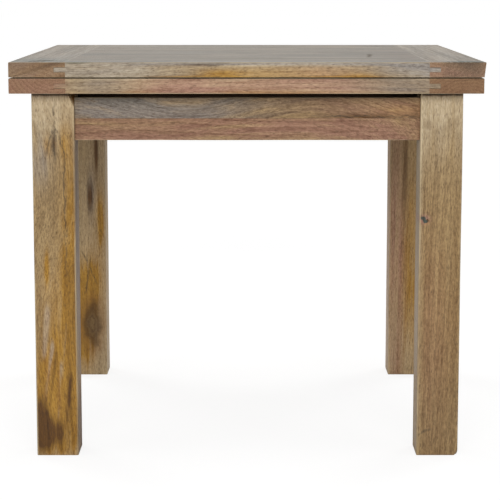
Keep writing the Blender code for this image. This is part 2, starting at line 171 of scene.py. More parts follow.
def eased_outline(corners, radii, step):
    """A closed outline with rounded corners: its points, their outward directions, and 1 on each arris.

    Each corner of the polygon becomes an arc that touches both of its sides, and the sides are divided
    evenly, with one more point close to either end of a long one. A corner that turns inwards stays sharp.
    """
    corners = np.asarray(corners, float)
    radii = list(radii)
    before = np.roll(corners, 1, 0)
    if (before[:, 0] * corners[:, 1] - before[:, 1] * corners[:, 0]).sum() < 0:
        corners = corners[::-1]
        radii = radii[::-1]
    sides = np.roll(corners, -1, 0) - corners
    sides = sides / np.linalg.norm(sides, axis=1)[:, None]
    arcs = []
    facings = []
    for corner, radius, way_in, way_out in zip(corners, radii, np.roll(sides, 1, 0), sides):
        turn = np.arctan2(way_in[0] * way_out[1] - way_in[1] * way_out[0], way_in @ way_out)
        angles = np.arctan2(-way_in[0], way_in[1]) + np.linspace(0, turn, 5)
        facing = np.stack([np.cos(angles), np.sin(angles)], 1)
        centre = corner - way_in * radius * np.tan(turn / 2) - facing[0] * radius
        if turn > 0 and radius > 0:
            arcs.append(centre + facing * radius)
            facings.append(facing)
        else:
            arcs.append(corner[None])
            facings.append(facing[2:3] / np.cos(turn / 2))
    points = []
    outward = []
    arris = []
    for number, side in enumerate(sides):
        start = arcs[number][-1]
        length = np.linalg.norm(arcs[(number + 1) % len(arcs)][0] - start)
        inner = spaced(0, length, step)
        near = min(NEAR_ARRIS, inner[1] / 2)
        places = np.zeros(0)
        if length > SHORT_SIDE:
            places = np.concatenate([[near], inner[1:-1], [length - near]])
        points += [arcs[number], start + places[:, None] * side]
        outward += [facings[number], np.tile((side[1], -side[0]), (len(places), 1))]
        arris += [np.full(len(arcs[number]), float(len(arcs[number]) > 1)), np.zeros(len(places))]
    return np.concatenate(points), np.concatenate(outward), np.concatenate(arris)


def eased_run(start, end, radius, step):
    """Stations along a piece, and how far its outline draws in at each: a quarter circle at either end."""
    turn = np.linspace(0, np.pi / 2, 5)
    rise = radius * (1 - np.cos(turn))
    inset = radius * (1 - np.sin(turn))
    middle = spaced(start + radius, end - radius, step)[1:-1]
    along = np.concatenate([start + rise, middle, (end - rise)[::-1]])
    return along, np.concatenate([inset, np.zeros(len(middle)), inset[::-1]])


def carried(outline, outward, along, inset, axis):
    """An outline carried along an axis: a ring of points at each station, drawn in by the station's inset."""
    flat = outline[None] - outward[None] * np.asarray(inset)[:, None, None]
    rings = np.empty(flat.shape[:2] + (3,))
    rings[..., axis] = np.asarray(along)[:, None]
    rings[..., (axis + 1) % 3] = flat[..., 0]
    rings[..., (axis + 2) % 3] = flat[..., 1]
    return rings


def uneven(points, length, shift):
    """A hand-planed face's unevenness, from 0 to 1: slow sine waves of one length laid across each other."""
    x, y, z = np.moveaxis(points, -1, 0) * (2 * np.pi / length)
    waves = np.sin(x + 0.7 * y + shift) + np.sin(y - 0.6 * z + 2 * shift) + np.sin(z + 0.8 * x + 3 * shift)
    return 0.5 + waves / 6


def planed_down(rings, outline_outward, depth, length, shift, axis):
    """Moves the points of carried rings inwards by up to depth, as the unevenness of the face says."""
    moved = rings.copy()
    fall = depth * uneven(rings, length, shift)
    moved[..., (axis + 1) % 3] -= fall * outline_outward[:, 0]
    moved[..., (axis + 2) % 3] -= fall * outline_outward[:, 1]
    return moved


def planed_bar(low, high, axis, radii, end_round, mesh, depth, length, shift):
    """A bar that fills a box, planed by hand: its rings, and where it has arrises and end grain.

    Its outline, with a radius for each of the four corners, is carried along an axis, drawn in by a quarter
    circle at either end, and moved inwards by up to depth.
    """
    first = (axis + 1) % 3
    second = (axis + 2) % 3
    mesh_across, mesh_along = mesh
    corners = [(low[first], low[second]), (high[first], low[second]), (high[first], high[second]),
               (low[first], high[second])]
    outline, outward, arris = eased_outline(corners, radii, mesh_across)
    along, inset = eased_run(low[axis], high[axis], end_round, mesh_along)
    rings = carried(outline, outward, along, inset, axis)
    return planed_down(rings, outward, depth, length, shift, axis), arris, inset


def closed_piece(name, rings, material, body, slot_name, *nodes):
    """Rings of points joined by four-sided faces, with a flat face over the first ring and over the last.

    An edge that turns by more than 30 degrees is shaded as an edge, and less than that as one round face.
    """
    stations, around = rings.shape[:2]
    number = np.arange(stations * around).reshape(stations, around)
    low = number[:-1]
    high = number[1:]
    sides = np.stack([low, np.roll(low, -1, 1), np.roll(high, -1, 1), high], -1).reshape(-1, 4)
    mesh = bpy.data.meshes.new(name)
    mesh.from_pydata(rings.reshape(-1, 3).tolist(), [],
                     sides.tolist() + [number[0, ::-1].tolist(), number[-1].tolist()])
    mesh.polygons.foreach_set("use_smooth", np.arange(len(sides) + 2) < len(sides))
    mesh.set_sharp_from_angle(angle=np.radians(30))
    mesh.materials.append(material)
    piece = bpy.data.objects.new(name, mesh)
    scene.collection.objects.link(piece)
    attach(piece, body)
    if nodes:
        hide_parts(*nodes)
    return piece


def store(piece, name, values):
    """Keeps three or four numbers at each point of a piece, for its material to read."""
    kind, field = {3: ("FLOAT_VECTOR", "vector"), 4: ("FLOAT_COLOR", "color")}[values.shape[1]]
    values = np.ascontiguousarray(values, dtype=np.float32)
    piece.data.attributes.new(name, kind, "POINT").data.foreach_set(field, values.ravel())


OCHRE, ROSE, GREY, DARK, SAPWOOD, INK_AND_SHADE = range(6)


def as_timber(piece, rings, axis, arris, inset, pith, lean=(0, 0), sway=(0, 1, 0), swerve=(0, 0, 1), log=0,
              colour_marks=(), knots=(), veins=(), bark=0):
    """Gives each point of a board what its wood shows there, for the mango material.

    log: how far along the grain the point lay in its log, and its two distances from the pith. The pith
    stands at a place across the piece, leans by so much per metre, sways both ways as
    height * cos(2 pi * (run - start) / length), and swerves once as
    height * exp(-((run - middle) / length) ** 2).
    The colour marks: six colours, each a sum of strength * exp(-d * d), d being the distance from a mark's
    middle in its own reach, with bark counted as dark. Most are the wood's own colouring; a few are painted
    shade under the top's overhang. knot: the place seen from the nearest knot, in knot radii. vein: the
    distance across a dark vein, how far along it, and its half width. The edges and tones: how much is arris
    and end grain, with the border of the bark counted as arris for a painted highlight, and the last two
    colours, pale sapwood and the blue-black that iron and water leave, which also carries painted shade.
    """
    points = rings.reshape(-1, 3)
    run = points[:, axis]
    height, length, start = sway
    bend = height * np.cos((run - start) * 2 * np.pi / length)
    bend = bend + swerve[0] * np.exp(-((run - swerve[1]) / swerve[2]) ** 2)
    across = points[:, (axis + 1) % 3] - pith[0] - lean[0] * run - bend
    up = points[:, (axis + 2) % 3] - pith[1] - lean[1] * run - bend
    coloured = np.zeros((len(points), 6))
    for colour, amount, middle, reach in colour_marks:
        distance = (points - middle) / reach
        coloured[:, colour] += amount * np.exp(-(distance ** 2).sum(1))
    knotted = np.full((len(points), 3), 50.0)
    for middle, radii in knots:
        seen_from = (points - middle) / radii
        nearer = np.linalg.norm(seen_from, axis=1) < np.linalg.norm(knotted, axis=1)
        knotted[nearer] = seen_from[nearer]
        pushed = np.exp(-(np.linalg.norm(seen_from, axis=1) / 2.2) ** 2) * max(radii) * 0.25
        across = across + pushed * np.tanh(seen_from[:, (axis + 1) % 3])
        up = up + pushed * np.tanh(seen_from[:, (axis + 2) % 3])
    veined = np.tile((1.0, 0.0, 0.001), (len(points), 1))
    for start_of, end_of, facing, half_width in veins:
        way = np.subtract(end_of, start_of)
        span = np.linalg.norm(way)
        off = points - start_of
        side = np.cross(facing, way / span)
        away = np.stack([off @ side, off @ way / span ** 2, np.full(len(points), half_width)], 1)
        nearer = np.abs(away[:, 0]) < np.abs(veined[:, 0])
        veined[nearer] = away[nearer]
    end_grain = np.broadcast_to((inset / max(inset.max(), 1e-9))[:, None], rings.shape[:2]).ravel()
    edge = np.maximum(np.broadcast_to(arris[None], rings.shape[:2]).ravel() * (1 - end_grain),
                      4 * end_grain * (1 - end_grain))
    # Painted highlight: the border of the bark counts as arris, so a pale rim runs along the wane's edge
    edge = np.maximum(edge, 4 * bark * (1 - bark))
    coloured[:, DARK] += 3 * bark
    store(piece, "log", np.stack([run + log, across, up], 1))
    store(piece, "colour_mark", coloured[:, :4])
    store(piece, "knot", knotted)
    store(piece, "vein", veined)
    store(piece, "edge_and_tones", np.stack([edge, end_grain, coloured[:, SAPWOOD], coloured[:, INK_AND_SHADE]], 1))


def new_finish(name):
    """A new material, its node tree and its shader."""
    material = bpy.data.materials.new(name)
    material.use_nodes = True
    return material, material.node_tree, material.node_tree.nodes["Principled BSDF"]


def oiled_mango(name, roughness, specular, ring_depth, streak_depth, banded):
    """Mango planed by hand and oiled: tan wood with brown growth rings 7 mm apart, long streaks, and pores.

    The eye gets a satin surface with lines along the grain, arcs on end grain, ochre, rose and blue-grey
    bands from the log's own colouring, dark knots and veins, paler wood at arrises that wear has reached, a
    pale painted highlight along the border of bark, and painted shade where the marks carry it.
    """
    material, tree, shader = new_finish(name)
    log = node(tree, "Attribute", attribute_name="log").outputs["Vector"]
    colour_mark = node(tree, "Attribute", attribute_name="colour_mark")
    knot = node(tree, "Attribute", attribute_name="knot").outputs["Vector"]
    vein = node(tree, "SeparateXYZ", {0: node(tree, "Attribute", attribute_name="vein").outputs["Vector"]})
    edge_and_tones = node(tree, "Attribute", attribute_name="edge_and_tones")
    arris, end_grain, sapwood = node(tree, "SeparateColor", {0: edge_and_tones.outputs["Color"]}).outputs

    # Lengths along and across the grain in millimetres. Real pores are 0.2 mm wide, drawn wider here to show.
    figure = {}
    for part, along, across, detail in (("drift", 620, 70, 2), ("patch", 300, 32, 3), ("streak", 700, 13, 4),
                                        ("fibre", 60, 2.2, 3), ("fleck", 12, 2.6, 2), ("speck", 6, 3.6, 2),
                                        ("pore", 11, 1.5, 1), ("wander", 24, 40, 3)):
        scale = (1000 / along, 1000 / across, 1000 / across)
        stretched = node(tree, "VectorMath", {0: log, 1: scale}, operation="MULTIPLY")
        figure[part] = node(tree, "TexNoise", {"Vector": stretched.outputs[0], "Scale": 1, "Detail": detail,
                                               "Roughness": 0.6}).outputs[0]

    # Growth rings: distance from the pith, wandering by 26 mm, the late wood darker towards each ring's end
    flat = node(tree, "VectorMath", {0: log, 1: (0, 1, 1)}, operation="MULTIPLY")
    radius = node(tree, "VectorMath", {0: flat.outputs[0]}, operation="LENGTH").outputs["Value"]
    bent = node(tree, "Math", {0: figure["drift"], 1: 0.026, 2: radius}, operation="MULTIPLY_ADD")
    turn = node(tree, "Math", {0: bent.outputs[0], 1: 1 / 0.007}, operation="MULTIPLY")
    part_of_ring = node(tree, "Math", {0: turn.outputs[0]}, operation="FRACT")
    late_wood = node(tree, "Math", {0: part_of_ring.outputs[0], 1: 2.5}, operation="POWER").outputs[0]
    long_streak = node(tree, "MapRange", {"Value": figure["streak"], "From Min": 0.33, "From Max": 0.67})
    fine_line = node(tree, "MapRange", {"Value": figure["fibre"], "From Min": 0.35, "From Max": 0.65})
    short_fleck = node(tree, "MapRange", {"Value": figure["fleck"], "From Min": 0.33, "From Max": 0.67})
    speckle = node(tree, "MapRange", {"Value": figure["speck"], "From Min": 0.33, "From Max": 0.67})
    ring_share = node(tree, "MapRange", {"Value": end_grain, "To Min": ring_depth, "To Max": 0.30})
    depth = node(tree, "Math", {0: late_wood, 1: ring_share.outputs[0]}, operation="MULTIPLY")
    lengthwise = node(tree, "MapRange", {"Value": end_grain, "To Min": streak_depth, "To Max": 0.10})
    depth = node(tree, "Math", {0: long_streak.outputs[0], 1: lengthwise.outputs[0], 2: depth.outputs[0]},
                 operation="MULTIPLY_ADD")
    for lines, amount in ((short_fleck, 0.26), (fine_line, 0.25), (speckle, 0.22)):
        depth = node(tree, "Math", {0: lines.outputs[0], 1: amount, 2: depth.outputs[0]},
                     operation="MULTIPLY_ADD")

    # The colours of the marks, pale and deep of each, broken up into bands along the grain; most are the
    # wood's own, and a few are painted shade under the top's overhang
    tones = node(tree, "SeparateColor", {0: colour_mark.outputs["Color"]})
    amounts = [sapwood, *tones.outputs, colour_mark.outputs["Alpha"], edge_and_tones.outputs["Alpha"]]
    bands = node(tree, "Mix", {0: 0.5, 2: figure["patch"], 3: figure["streak"]})
    banding = node(tree, "MapRange", {"Value": bands.outputs[0], "From Min": 0.38, "From Max": 0.62,
                                      "To Min": 1 - banded, "To Max": 1 + banded})
    pale = linear("#ba9e70")
    deep = linear("#5b4328")
    pale_tones = ("#dacaad", "#c69842", "#c39a84", "#afa79d", "#704b1d", "#525b51")
    deep_tones = ("#9a8360", "#795114", "#765140", "#645c56", "#3d260d", "#262b27")
    for amount, pale_tone, deep_tone in zip(amounts, pale_tones, deep_tones):
        share = node(tree, "Math", {0: amount, 1: banding.outputs[0]}, operation="MULTIPLY", use_clamp=True)
        pale = node(tree, "Mix", {0: share.outputs[0], 6: pale, 7: linear(pale_tone)},
                    data_type="RGBA").outputs[2]
        deep = node(tree, "Mix", {0: share.outputs[0], 6: deep, 7: linear(deep_tone)},
                    data_type="RGBA").outputs[2]
    colour = node(tree, "Mix", {0: depth.outputs[0], 6: pale, 7: deep}, data_type="RGBA",
                  clamp_factor=True).outputs[2]

    # Pores hold oil and dirt; end grain drinks more oil and is darker
    pores = node(tree, "MapRange", {"Value": figure["pore"], "From Min": 0.57, "From Max": 0.68,
                                    "To Max": 0.5})
    colour = node(tree, "Mix", {0: pores.outputs[0], 6: colour, 7: linear("#4a3524")},
                  data_type="RGBA").outputs[2]
    soaked = node(tree, "Math", {0: end_grain, 1: 0.42}, operation="MULTIPLY")
    colour = node(tree, "Mix", {0: soaked.outputs[0], 6: colour, 7: linear("#68432e")},
                  data_type="RGBA").outputs[2]

    # Knots: a brown ring that fades outwards, a dark rim, and a lighter heart with rings of its own
    away = node(tree, "VectorMath", {0: knot}, operation="LENGTH").outputs["Value"]
    away = node(tree, "Math", {0: figure["fleck"], 1: 0.5, 2: away}, operation="MULTIPLY_ADD").outputs[0]
    away = node(tree, "Math", {0: figure["wander"], 1: 1.1, 2: away}, operation="MULTIPLY_ADD").outputs[0]
    rings = node(tree, "Math", {0: node(tree, "Math", {0: away, 1: 16}, operation="MULTIPLY").outputs[0]},
                 operation="SINE")
    heart_tone = node(tree, "MapRange", {"Value": rings.outputs[0], "From Min": -1})
    heart = node(tree, "Mix", {0: heart_tone.outputs[0], 6: linear("#54412b"), 7: linear("#8a714c")},
                 data_type="RGBA")
    for tone, starts, full, amount in ((linear("#7b5428"), 2.8, 1.6, 0.6),
                                       (linear("#2f200f"), 2.0, 1.4, 0.62),
                                       (heart.outputs[2], 1.5, 1.0, 0.5)):
        share = node(tree, "MapRange", {"Value": away, "From Min": starts, "From Max": full,
                                        "To Max": amount}, interpolation_type="SMOOTHSTEP")
        colour = node(tree, "Mix", {0: share.outputs[0], 6: colour, 7: tone}, data_type="RGBA").outputs[2]

    # Veins: a dark, dull and broken line that wanders by a few millimetres and fades at either end
    wander = node(tree, "MapRange", {"Value": figure["wander"], "To Min": -0.007, "To Max": 0.007})
    off_line = node(tree, "Math", {0: vein.outputs["X"], 1: wander.outputs[0]}, operation="ADD")
    off_line = node(tree, "Math", {0: off_line.outputs[0]}, operation="ABSOLUTE")
    off_line = node(tree, "Math", {0: off_line.outputs[0], 1: vein.outputs["Z"]}, operation="DIVIDE")
    line = node(tree, "MapRange", {"Value": off_line.outputs[0], "From Min": 2.0, "From Max": 0.2})
    broken = node(tree, "MapRange", {"Value": figure["fibre"], "From Min": 0.32, "From Max": 0.55})
    line = node(tree, "Math", {0: line.outputs[0], 1: broken.outputs[0]}, operation="MULTIPLY")
    from_middle = node(tree, "Math", {0: vein.outputs["Y"], 1: 0.5}, operation="SUBTRACT")
    from_middle = node(tree, "Math", {0: from_middle.outputs[0]}, operation="ABSOLUTE")
    within = node(tree, "MapRange", {"Value": from_middle.outputs[0], "From Min": 0.55, "From Max": 0.35,
                                     "To Max": 0.75})
    line = node(tree, "Math", {0: line.outputs[0], 1: within.outputs[0]}, operation="MULTIPLY")
    colour = node(tree, "Mix", {0: line.outputs[0], 6: colour, 7: linear("#4a4138")},
                  data_type="RGBA").outputs[2]

    # Arrises that wear has reached go back to paler wood in places. Along the border of bark the same pale
    # wood is a painted highlight.
    paler_edge = node(tree, "MapRange", {"Value": figure["patch"], "From Min": 0.35, "From Max": 0.6,
                                     "To Max": 0.55})
    paler_edge = node(tree, "Math", {0: paler_edge.outputs[0], 1: arris}, operation="MULTIPLY")
    colour = node(tree, "Mix", {0: paler_edge.outputs[0], 6: colour, 7: linear("#c8b592")},
                  data_type="RGBA").outputs[2]

    # The oil lies unevenly: more of a shine along some streaks, less on others, and none in a vein
    tree.links.new(colour, shader.inputs["Base Color"])
    sheen = node(tree, "Mix", {0: 0.6, 2: figure["fibre"], 3: figure["streak"]})
    satin = node(tree, "MapRange", {"Value": sheen.outputs[0], "From Min": 0.35, "From Max": 0.65,
                                    "To Min": roughness - 0.06, "To Max": roughness + 0.10})
    dull = node(tree, "Math", {0: line.outputs[0], 1: 0.5, 2: satin.outputs[0]}, operation="MULTIPLY_ADD")
    tree.links.new(dull.outputs[0], shader.inputs["Roughness"])
    hollow = node(tree, "Math", {0: pores.outputs[0], 1: -1.2, 2: figure["fibre"]}, operation="MULTIPLY_ADD")
    relief = node(tree, "Bump", {"Height": hollow.outputs[0], "Strength": 0.35, "Distance": 0.0004})
    tree.links.new(relief.outputs[0], shader.inputs["Normal"])
    shader.inputs["IOR"].default_value = 1.5
    shader.inputs["Specular IOR Level"].default_value = specular
    return material


def cut_to_ball(rings, corner, reach, radius):
    """Rounds a corner: points past the plane through its three reaches move onto the ball through them."""
    corner = np.asarray(corner, float)
    toward = np.sign(corner - rings.reshape(-1, 3).mean(0))
    marks = corner - np.diag(np.asarray(reach) * toward)
    across = np.cross(marks[1] - marks[0], marks[2] - marks[0])
    across /= np.linalg.norm(across)
    across *= np.sign((corner - marks[0]) @ across)
    spans = marks[1:] - marks[0]
    plane = np.linalg.svd(spans)[2][:2]
    offset = np.linalg.solve(2 * spans @ plane.T, (spans ** 2).sum(1))
    foot = marks[0] + offset @ plane
    centre = foot - across * np.sqrt(radius ** 2 - ((foot - marks[0]) ** 2).sum())
    from_centre = rings - centre
    distance = np.linalg.norm(from_centre, axis=-1)
    outside = (distance > radius) & ((rings - marks[0]) @ across > 0)
    return np.where(outside[..., None], centre + from_centre * (radius / distance)[..., None], rings)


mango_leg = oiled_mango("mango_planed_and_oiled_legs", roughness=0.42, specular=0.40, ring_depth=0.14,
                        streak_depth=0.30, banded=0.65)
leg_wood = {
    "front_left": dict(
        pith=(-0.3780, -0.4075), lean=(0.012, 0.062), sway=(0.012, 0.5, 0.02), log=1.3,
        # Paler towards the top of the leg
        colour_marks=[(SAPWOOD, 1.0, (-0.375, -0.40, 0.720), (0.2, 0.2, 0.110)),
                # Painted shadow: the top few millimetres of the leg, under the overhang of the top, darkened
                # near black
                (DARK, 4.0, (-0.375, -0.40, 0.7095), (0.2, 0.2, 0.0038)),
                (INK_AND_SHADE, 1.0, (-0.375, -0.40, 0.7095), (0.2, 0.2, 0.0038)),
                (GREY, 0.6, (-0.400, -0.40, 0.575), (0.018, 0.1, 0.045)),
                (OCHRE, 0.65, (-0.3835, -0.41, 0.606), (0.008, 0.1, 0.020)),
                (OCHRE, 0.65, (-0.3500, -0.41, 0.612), (0.010, 0.1, 0.035)),
                (OCHRE, 1.5, (-0.3380, -0.41, 0.330), (0.018, 0.1, 0.220)),
                (OCHRE, 0.9, (-0.3876, -0.41, 0.371), (0.004, 0.1, 0.030)),
                (OCHRE, 2.4, (-0.3740, -0.41, 0.120), (0.036, 0.1, 0.075)),
                (OCHRE, 0.9, (-0.3720, -0.41, 0.030), (0.040, 0.1, 0.045)),
                (SAPWOOD, 0.25, (-0.3850, -0.41, 0.300), (0.030, 0.1, 0.120)),
                (OCHRE, 0.40, (-0.3750, -0.41, 0.270), (0.040, 0.1, 0.130)),
                (GREY, 0.6, (-0.3305, -0.37, 0.400), (0.003, 0.05, 0.200)),
                (DARK, 0.60, (-0.3305, -0.37, 0.350), (0.003, 0.05, 0.400)),
                (DARK, 1.0, (-0.3305, -0.37, 0.060), (0.003, 0.05, 0.080)),
                (DARK, 0.8, (-0.3700, -0.41, 0.612), (0.005, 0.1, 0.018)),
                (DARK, 1.1, (-0.4030, -0.41, 0.070), (0.013, 0.1, 0.050)),
                (DARK, 1.1, (-0.3900, -0.41, 0.050), (0.024, 0.1, 0.030)),
                (DARK, 0.8, (-0.3750, -0.41, 0.042), (0.024, 0.1, 0.026)),
                (DARK, 0.9, (-0.3500, -0.41, 0.100), (0.005, 0.1, 0.040)),
                (DARK, 0.3, (-0.3420, -0.41, 0.340), (0.014, 0.1, 0.200)),
                (SAPWOOD, 0.8, (-0.3700, -0.41, 0.000), (0.060, 0.1, 0.010)),
                (SAPWOOD, 0.9, (-0.3350, -0.41, 0.040), (0.006, 0.1, 0.050))],
        veins=[((-0.369, -0.412, 0.690), (-0.370, -0.412, 0.575), (0, -1, 0), 0.0020),
               ((-0.372, -0.412, 0.645), (-0.387, -0.412, 0.585), (0, -1, 0), 0.0014),
               ((-0.368, -0.412, 0.645), (-0.347, -0.412, 0.590), (0, -1, 0), 0.0014),
               ((-0.352, -0.412, 0.600), (-0.350, -0.412, 0.360), (0, -1, 0), 0.0013)]),
    "front_right": dict(
        pith=(0.520, -0.250), lean=(0.02, 0.03), log=4.1,
        # Paler towards the top of the leg
        colour_marks=[(SAPWOOD, 1.1, (0.375, -0.40, 0.720), (0.2, 0.2, 0.110)),
                # Painted shadow: the top few millimetres of the leg, under the overhang of the top, darkened
                # near black
                (DARK, 4.0, (0.375, -0.40, 0.7095), (0.2, 0.2, 0.0038)),
                (INK_AND_SHADE, 1.0, (0.375, -0.40, 0.7095), (0.2, 0.2, 0.0038)),
                (DARK, 0.26, (0.346, -0.41, 0.650), (0.012, 0.1, 0.009)),
                (DARK, 0.26, (0.391, -0.41, 0.650), (0.012, 0.1, 0.009)),
                (DARK, 0.14, (0.372, -0.41, 0.632), (0.036, 0.1, 0.016)),
                (SAPWOOD, 0.5, (0.330, -0.41, 0.350), (0.006, 0.1, 0.400)),
                (DARK, 0.16, (0.380, -0.41, 0.200), (0.060, 0.1, 0.250)),
                (ROSE, 1.2, (0.3390, -0.41, 0.4660), (0.010, 0.1, 0.008)),
                (OCHRE, 1.2, (0.3355, -0.41, 0.4640), (0.003, 0.1, 0.003)),
                (OCHRE, 1.0, (0.3440, -0.41, 0.4590), (0.004, 0.1, 0.002)),
                (INK_AND_SHADE, 2.5, (0.3358, -0.41, 0.4692), (0.0022, 0.1, 0.0018)),
                (INK_AND_SHADE, 3.0, (0.3398, -0.41, 0.4672), (0.0020, 0.1, 0.0030)),
                (INK_AND_SHADE, 3.0, (0.3428, -0.41, 0.4622), (0.0026, 0.1, 0.0020)),
                (DARK, 3.0, (0.3460, -0.41, 0.4638), (0.0020, 0.1, 0.0018)),
                (OCHRE, 0.20, (0.370, -0.41, 0.250), (0.080, 0.1, 0.200)),
                (ROSE, 0.25, (0.360, -0.41, 0.220), (0.040, 0.1, 0.200))],
        veins=[((0.3330, -0.412, 0.041), (0.3600, -0.412, 0.0535), (0, -1, 0), 0.0018)]),
    "rear_left": dict(
        pith=(-0.330, 0.500), lean=(-0.03, 0.02), log=7.7,
        colour_marks=[(SAPWOOD, 0.85, (-0.37, 0.33, 0.30), (0.2, 0.2, 0.6)),
                (OCHRE, 0.30, (-0.37, 0.33, 0.30), (0.1, 0.1, 0.4)),
                (DARK, 1.3, (-0.368, 0.33, 0.423), (0.007, 0.1, 0.040)),
                (GREY, 0.8, (-0.366, 0.33, 0.430), (0.010, 0.1, 0.045)),
                (DARK, 1.0, (-0.352, 0.33, 0.520), (0.006, 0.1, 0.070)),
                (OCHRE, 1.3, (-0.344, 0.33, 0.370), (0.008, 0.1, 0.060)),
                (OCHRE, 1.2, (-0.375, 0.33, 0.220), (0.030, 0.1, 0.060)),
                (OCHRE, 1.5, (-0.385, 0.33, 0.110), (0.026, 0.1, 0.080)),
                (SAPWOOD, 0.35, (-0.370, 0.33, 0.120), (0.100, 0.1, 0.150))],
        knots=[((-0.364, 0.3305, 0.123), (0.022, 0.03, 0.052))],
        veins=[((-0.390, 0.3305, 0.300), (-0.352, 0.3305, 0.215), (0, -1, 0), 0.0014),
               ((-0.368, 0.3305, 0.290), (-0.378, 0.3305, 0.190), (0, -1, 0), 0.0014)]),
    "rear_right": dict(
        pith=(0.480, 0.300), lean=(0.02, -0.02), log=10.9,
        colour_marks=[(SAPWOOD, 0.50, (0.37, 0.33, 0.30), (0.2, 0.2, 0.6)),
                (ROSE, 0.7, (0.345, 0.33, 0.300), (0.020, 0.1, 0.400)),
                (DARK, 0.7, (0.3650, 0.33, 0.490), (0.008, 0.1, 0.120)),
                (SAPWOOD, 0.5, (0.375, 0.33, 0.060), (0.100, 0.1, 0.120)),
                (OCHRE, 0.5, (0.385, 0.33, 0.250), (0.020, 0.1, 0.150)),
                (OCHRE, 0.45, (0.370, 0.33, 0.300), (0.100, 0.1, 0.500))]),
}
# Flame figure low on the front left leg: leaning streaks, paler or darker than the ochre round them
for (left, bottom), (right, top), width, tones in (
        ((-0.3935, 0.120), (-0.3790, 0.215), 0.0040, ((OCHRE, -1.0), (SAPWOOD, 0.12), (ROSE, 0.14))),
        ((-0.3690, 0.078), (-0.3630, 0.178), 0.0040, ((OCHRE, -1.2), (SAPWOOD, 0.20), (ROSE, 0.08))),
        ((-0.3950, 0.200), (-0.3880, 0.285), 0.0045, ((OCHRE, -0.5), (SAPWOOD, 0.10), (ROSE, 0.14))),
        ((-0.3600, 0.150), (-0.3500, 0.260), 0.0030, ((OCHRE, -0.5), (SAPWOOD, 0.12))),
        ((-0.3860, 0.105), (-0.3720, 0.200), 0.0024, ((DARK, 0.32),)),
        ((-0.3560, 0.060), (-0.3440, 0.150), 0.0034, ((DARK, 0.36),))):
    for share in np.linspace(0, 1, 7):
        spot = (left + (right - left) * share, -0.41, bottom + (top - bottom) * share)
        reach = (width, 0.1, 0.013)
        leg_wood["front_left"]["colour_marks"] += [(tone, amount, spot, reach) for tone, amount in tones]
for place, wood in leg_wood.items():
    low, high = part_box("leg_" + place)
    rings, arris, inset = planed_bar(low, high, 2, [LEG_ROUND] * 4, LEG_END_ROUND, LEG_MESH, LEG_UNEVEN,
                                     LEG_WAVE, wood["log"])
    if place == "front_left":
        whole = rings
        rings = cut_to_ball(rings, (high[0], low[1], high[2]), WANE_REACH, WANE_RADIUS)
        wood["bark"] = np.clip(np.linalg.norm(rings - whole, axis=-1).ravel() / BARK_FADE, 0, 1)
    if place == "front_right":
        rings = cut_to_ball(rings, (high[0], low[1], low[2]), KNOCK_REACH, KNOCK_RADIUS)
    leg = closed_piece("post_" + place, rings, mango_leg, "base", "mango_legs", "leg_" + place)
    as_timber(leg, rings, 2, arris, inset, **wood)


# Aprons
# Four rails of planed mango between the legs, tenoned into them below the top. The front one is glued up
# from two boards, a blue-grey one above a reddish one, and the joint shows as a fine line. The others are
# single boards.
APRON_ROUND = 0.0010
APRON_END_ROUND = 0.0004
APRON_GLUE_LINE = 0.6600
APRON_UNEVEN = 0.0004
FRONT_APRON_WAVE = 0.27
APRON_WAVE = 0.29
APRON_MESH = (0.005, 0.006)

mango_apron = oiled_mango("mango_planed_and_oiled_aprons", roughness=0.45, specular=0.35, ring_depth=0.25,
                          streak_depth=0.27, banded=0.65)
low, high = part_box("apron_front")
apron_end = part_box("leg_front_right")[0][0]
for name, bottom, top, wood in (
        ("upper", APRON_GLUE_LINE, high[2], dict(
            pith=(-0.350, 0.755), sway=(0.016, 0.50, 0.13), log=2.2,
            colour_marks=[(GREY, 1.0, (-0.230, -0.40, 0.69), (0.26, 0.2, 0.06)),
                    # Painted shade: darker towards the top at the left, under the leaf
                    (INK_AND_SHADE, 0.3, (-0.200, -0.40, 0.70), (0.20, 0.2, 0.02)),
                    (DARK, 0.22, (0.0, -0.40, 0.69), (0.6, 0.2, 0.06)),
                    (ROSE, 0.5, (0.240, -0.40, 0.68), (0.16, 0.2, 0.06)),
                    (OCHRE, 0.5, (0.290, -0.40, 0.675), (0.05, 0.2, 0.010)),
                    (DARK, 0.5, (0.230, -0.40, 0.662), (0.12, 0.2, 0.006)),
                    # Painted shade: the top edge of the board, under the leaf, darkened near black
                    (DARK, 3.0, (0.0, -0.38, 0.7005), (0.9, 0.2, 0.0012)),
                    (INK_AND_SHADE, 1.5, (0.0, -0.38, 0.7005), (0.9, 0.2, 0.0012))],
            veins=[((0.120, -0.40, 0.6640), (0.345, -0.40, 0.6625), (0, -1, 0), 0.0012)])),
        ("lower", low[2], APRON_GLUE_LINE, dict(
            pith=(-0.330, 0.600), sway=(0.008, 0.62, 0.10), swerve=(-0.070, 0.440, 0.150), log=5.6,
            colour_marks=[(ROSE, 0.9, (0.0, -0.40, 0.63), (0.6, 0.2, 0.05)),
                    (DARK, 0.22, (0.0, -0.40, 0.63), (0.8, 0.2, 0.06))]))):
    radii = [APRON_ROUND if level != APRON_GLUE_LINE else 0 for level in (bottom, bottom, top, top)]
    rings, arris, inset = planed_bar((-apron_end, low[1], bottom), (apron_end, high[1], top), 0, radii,
                                     APRON_END_ROUND, APRON_MESH, APRON_UNEVEN, FRONT_APRON_WAVE, wood["log"])
    board = closed_piece("apron_front_" + name + "_board", rings, mango_apron, "base", "mango_aprons",
                         "apron_front")
    as_timber(board, rings, 0, arris, inset * 0, **wood)
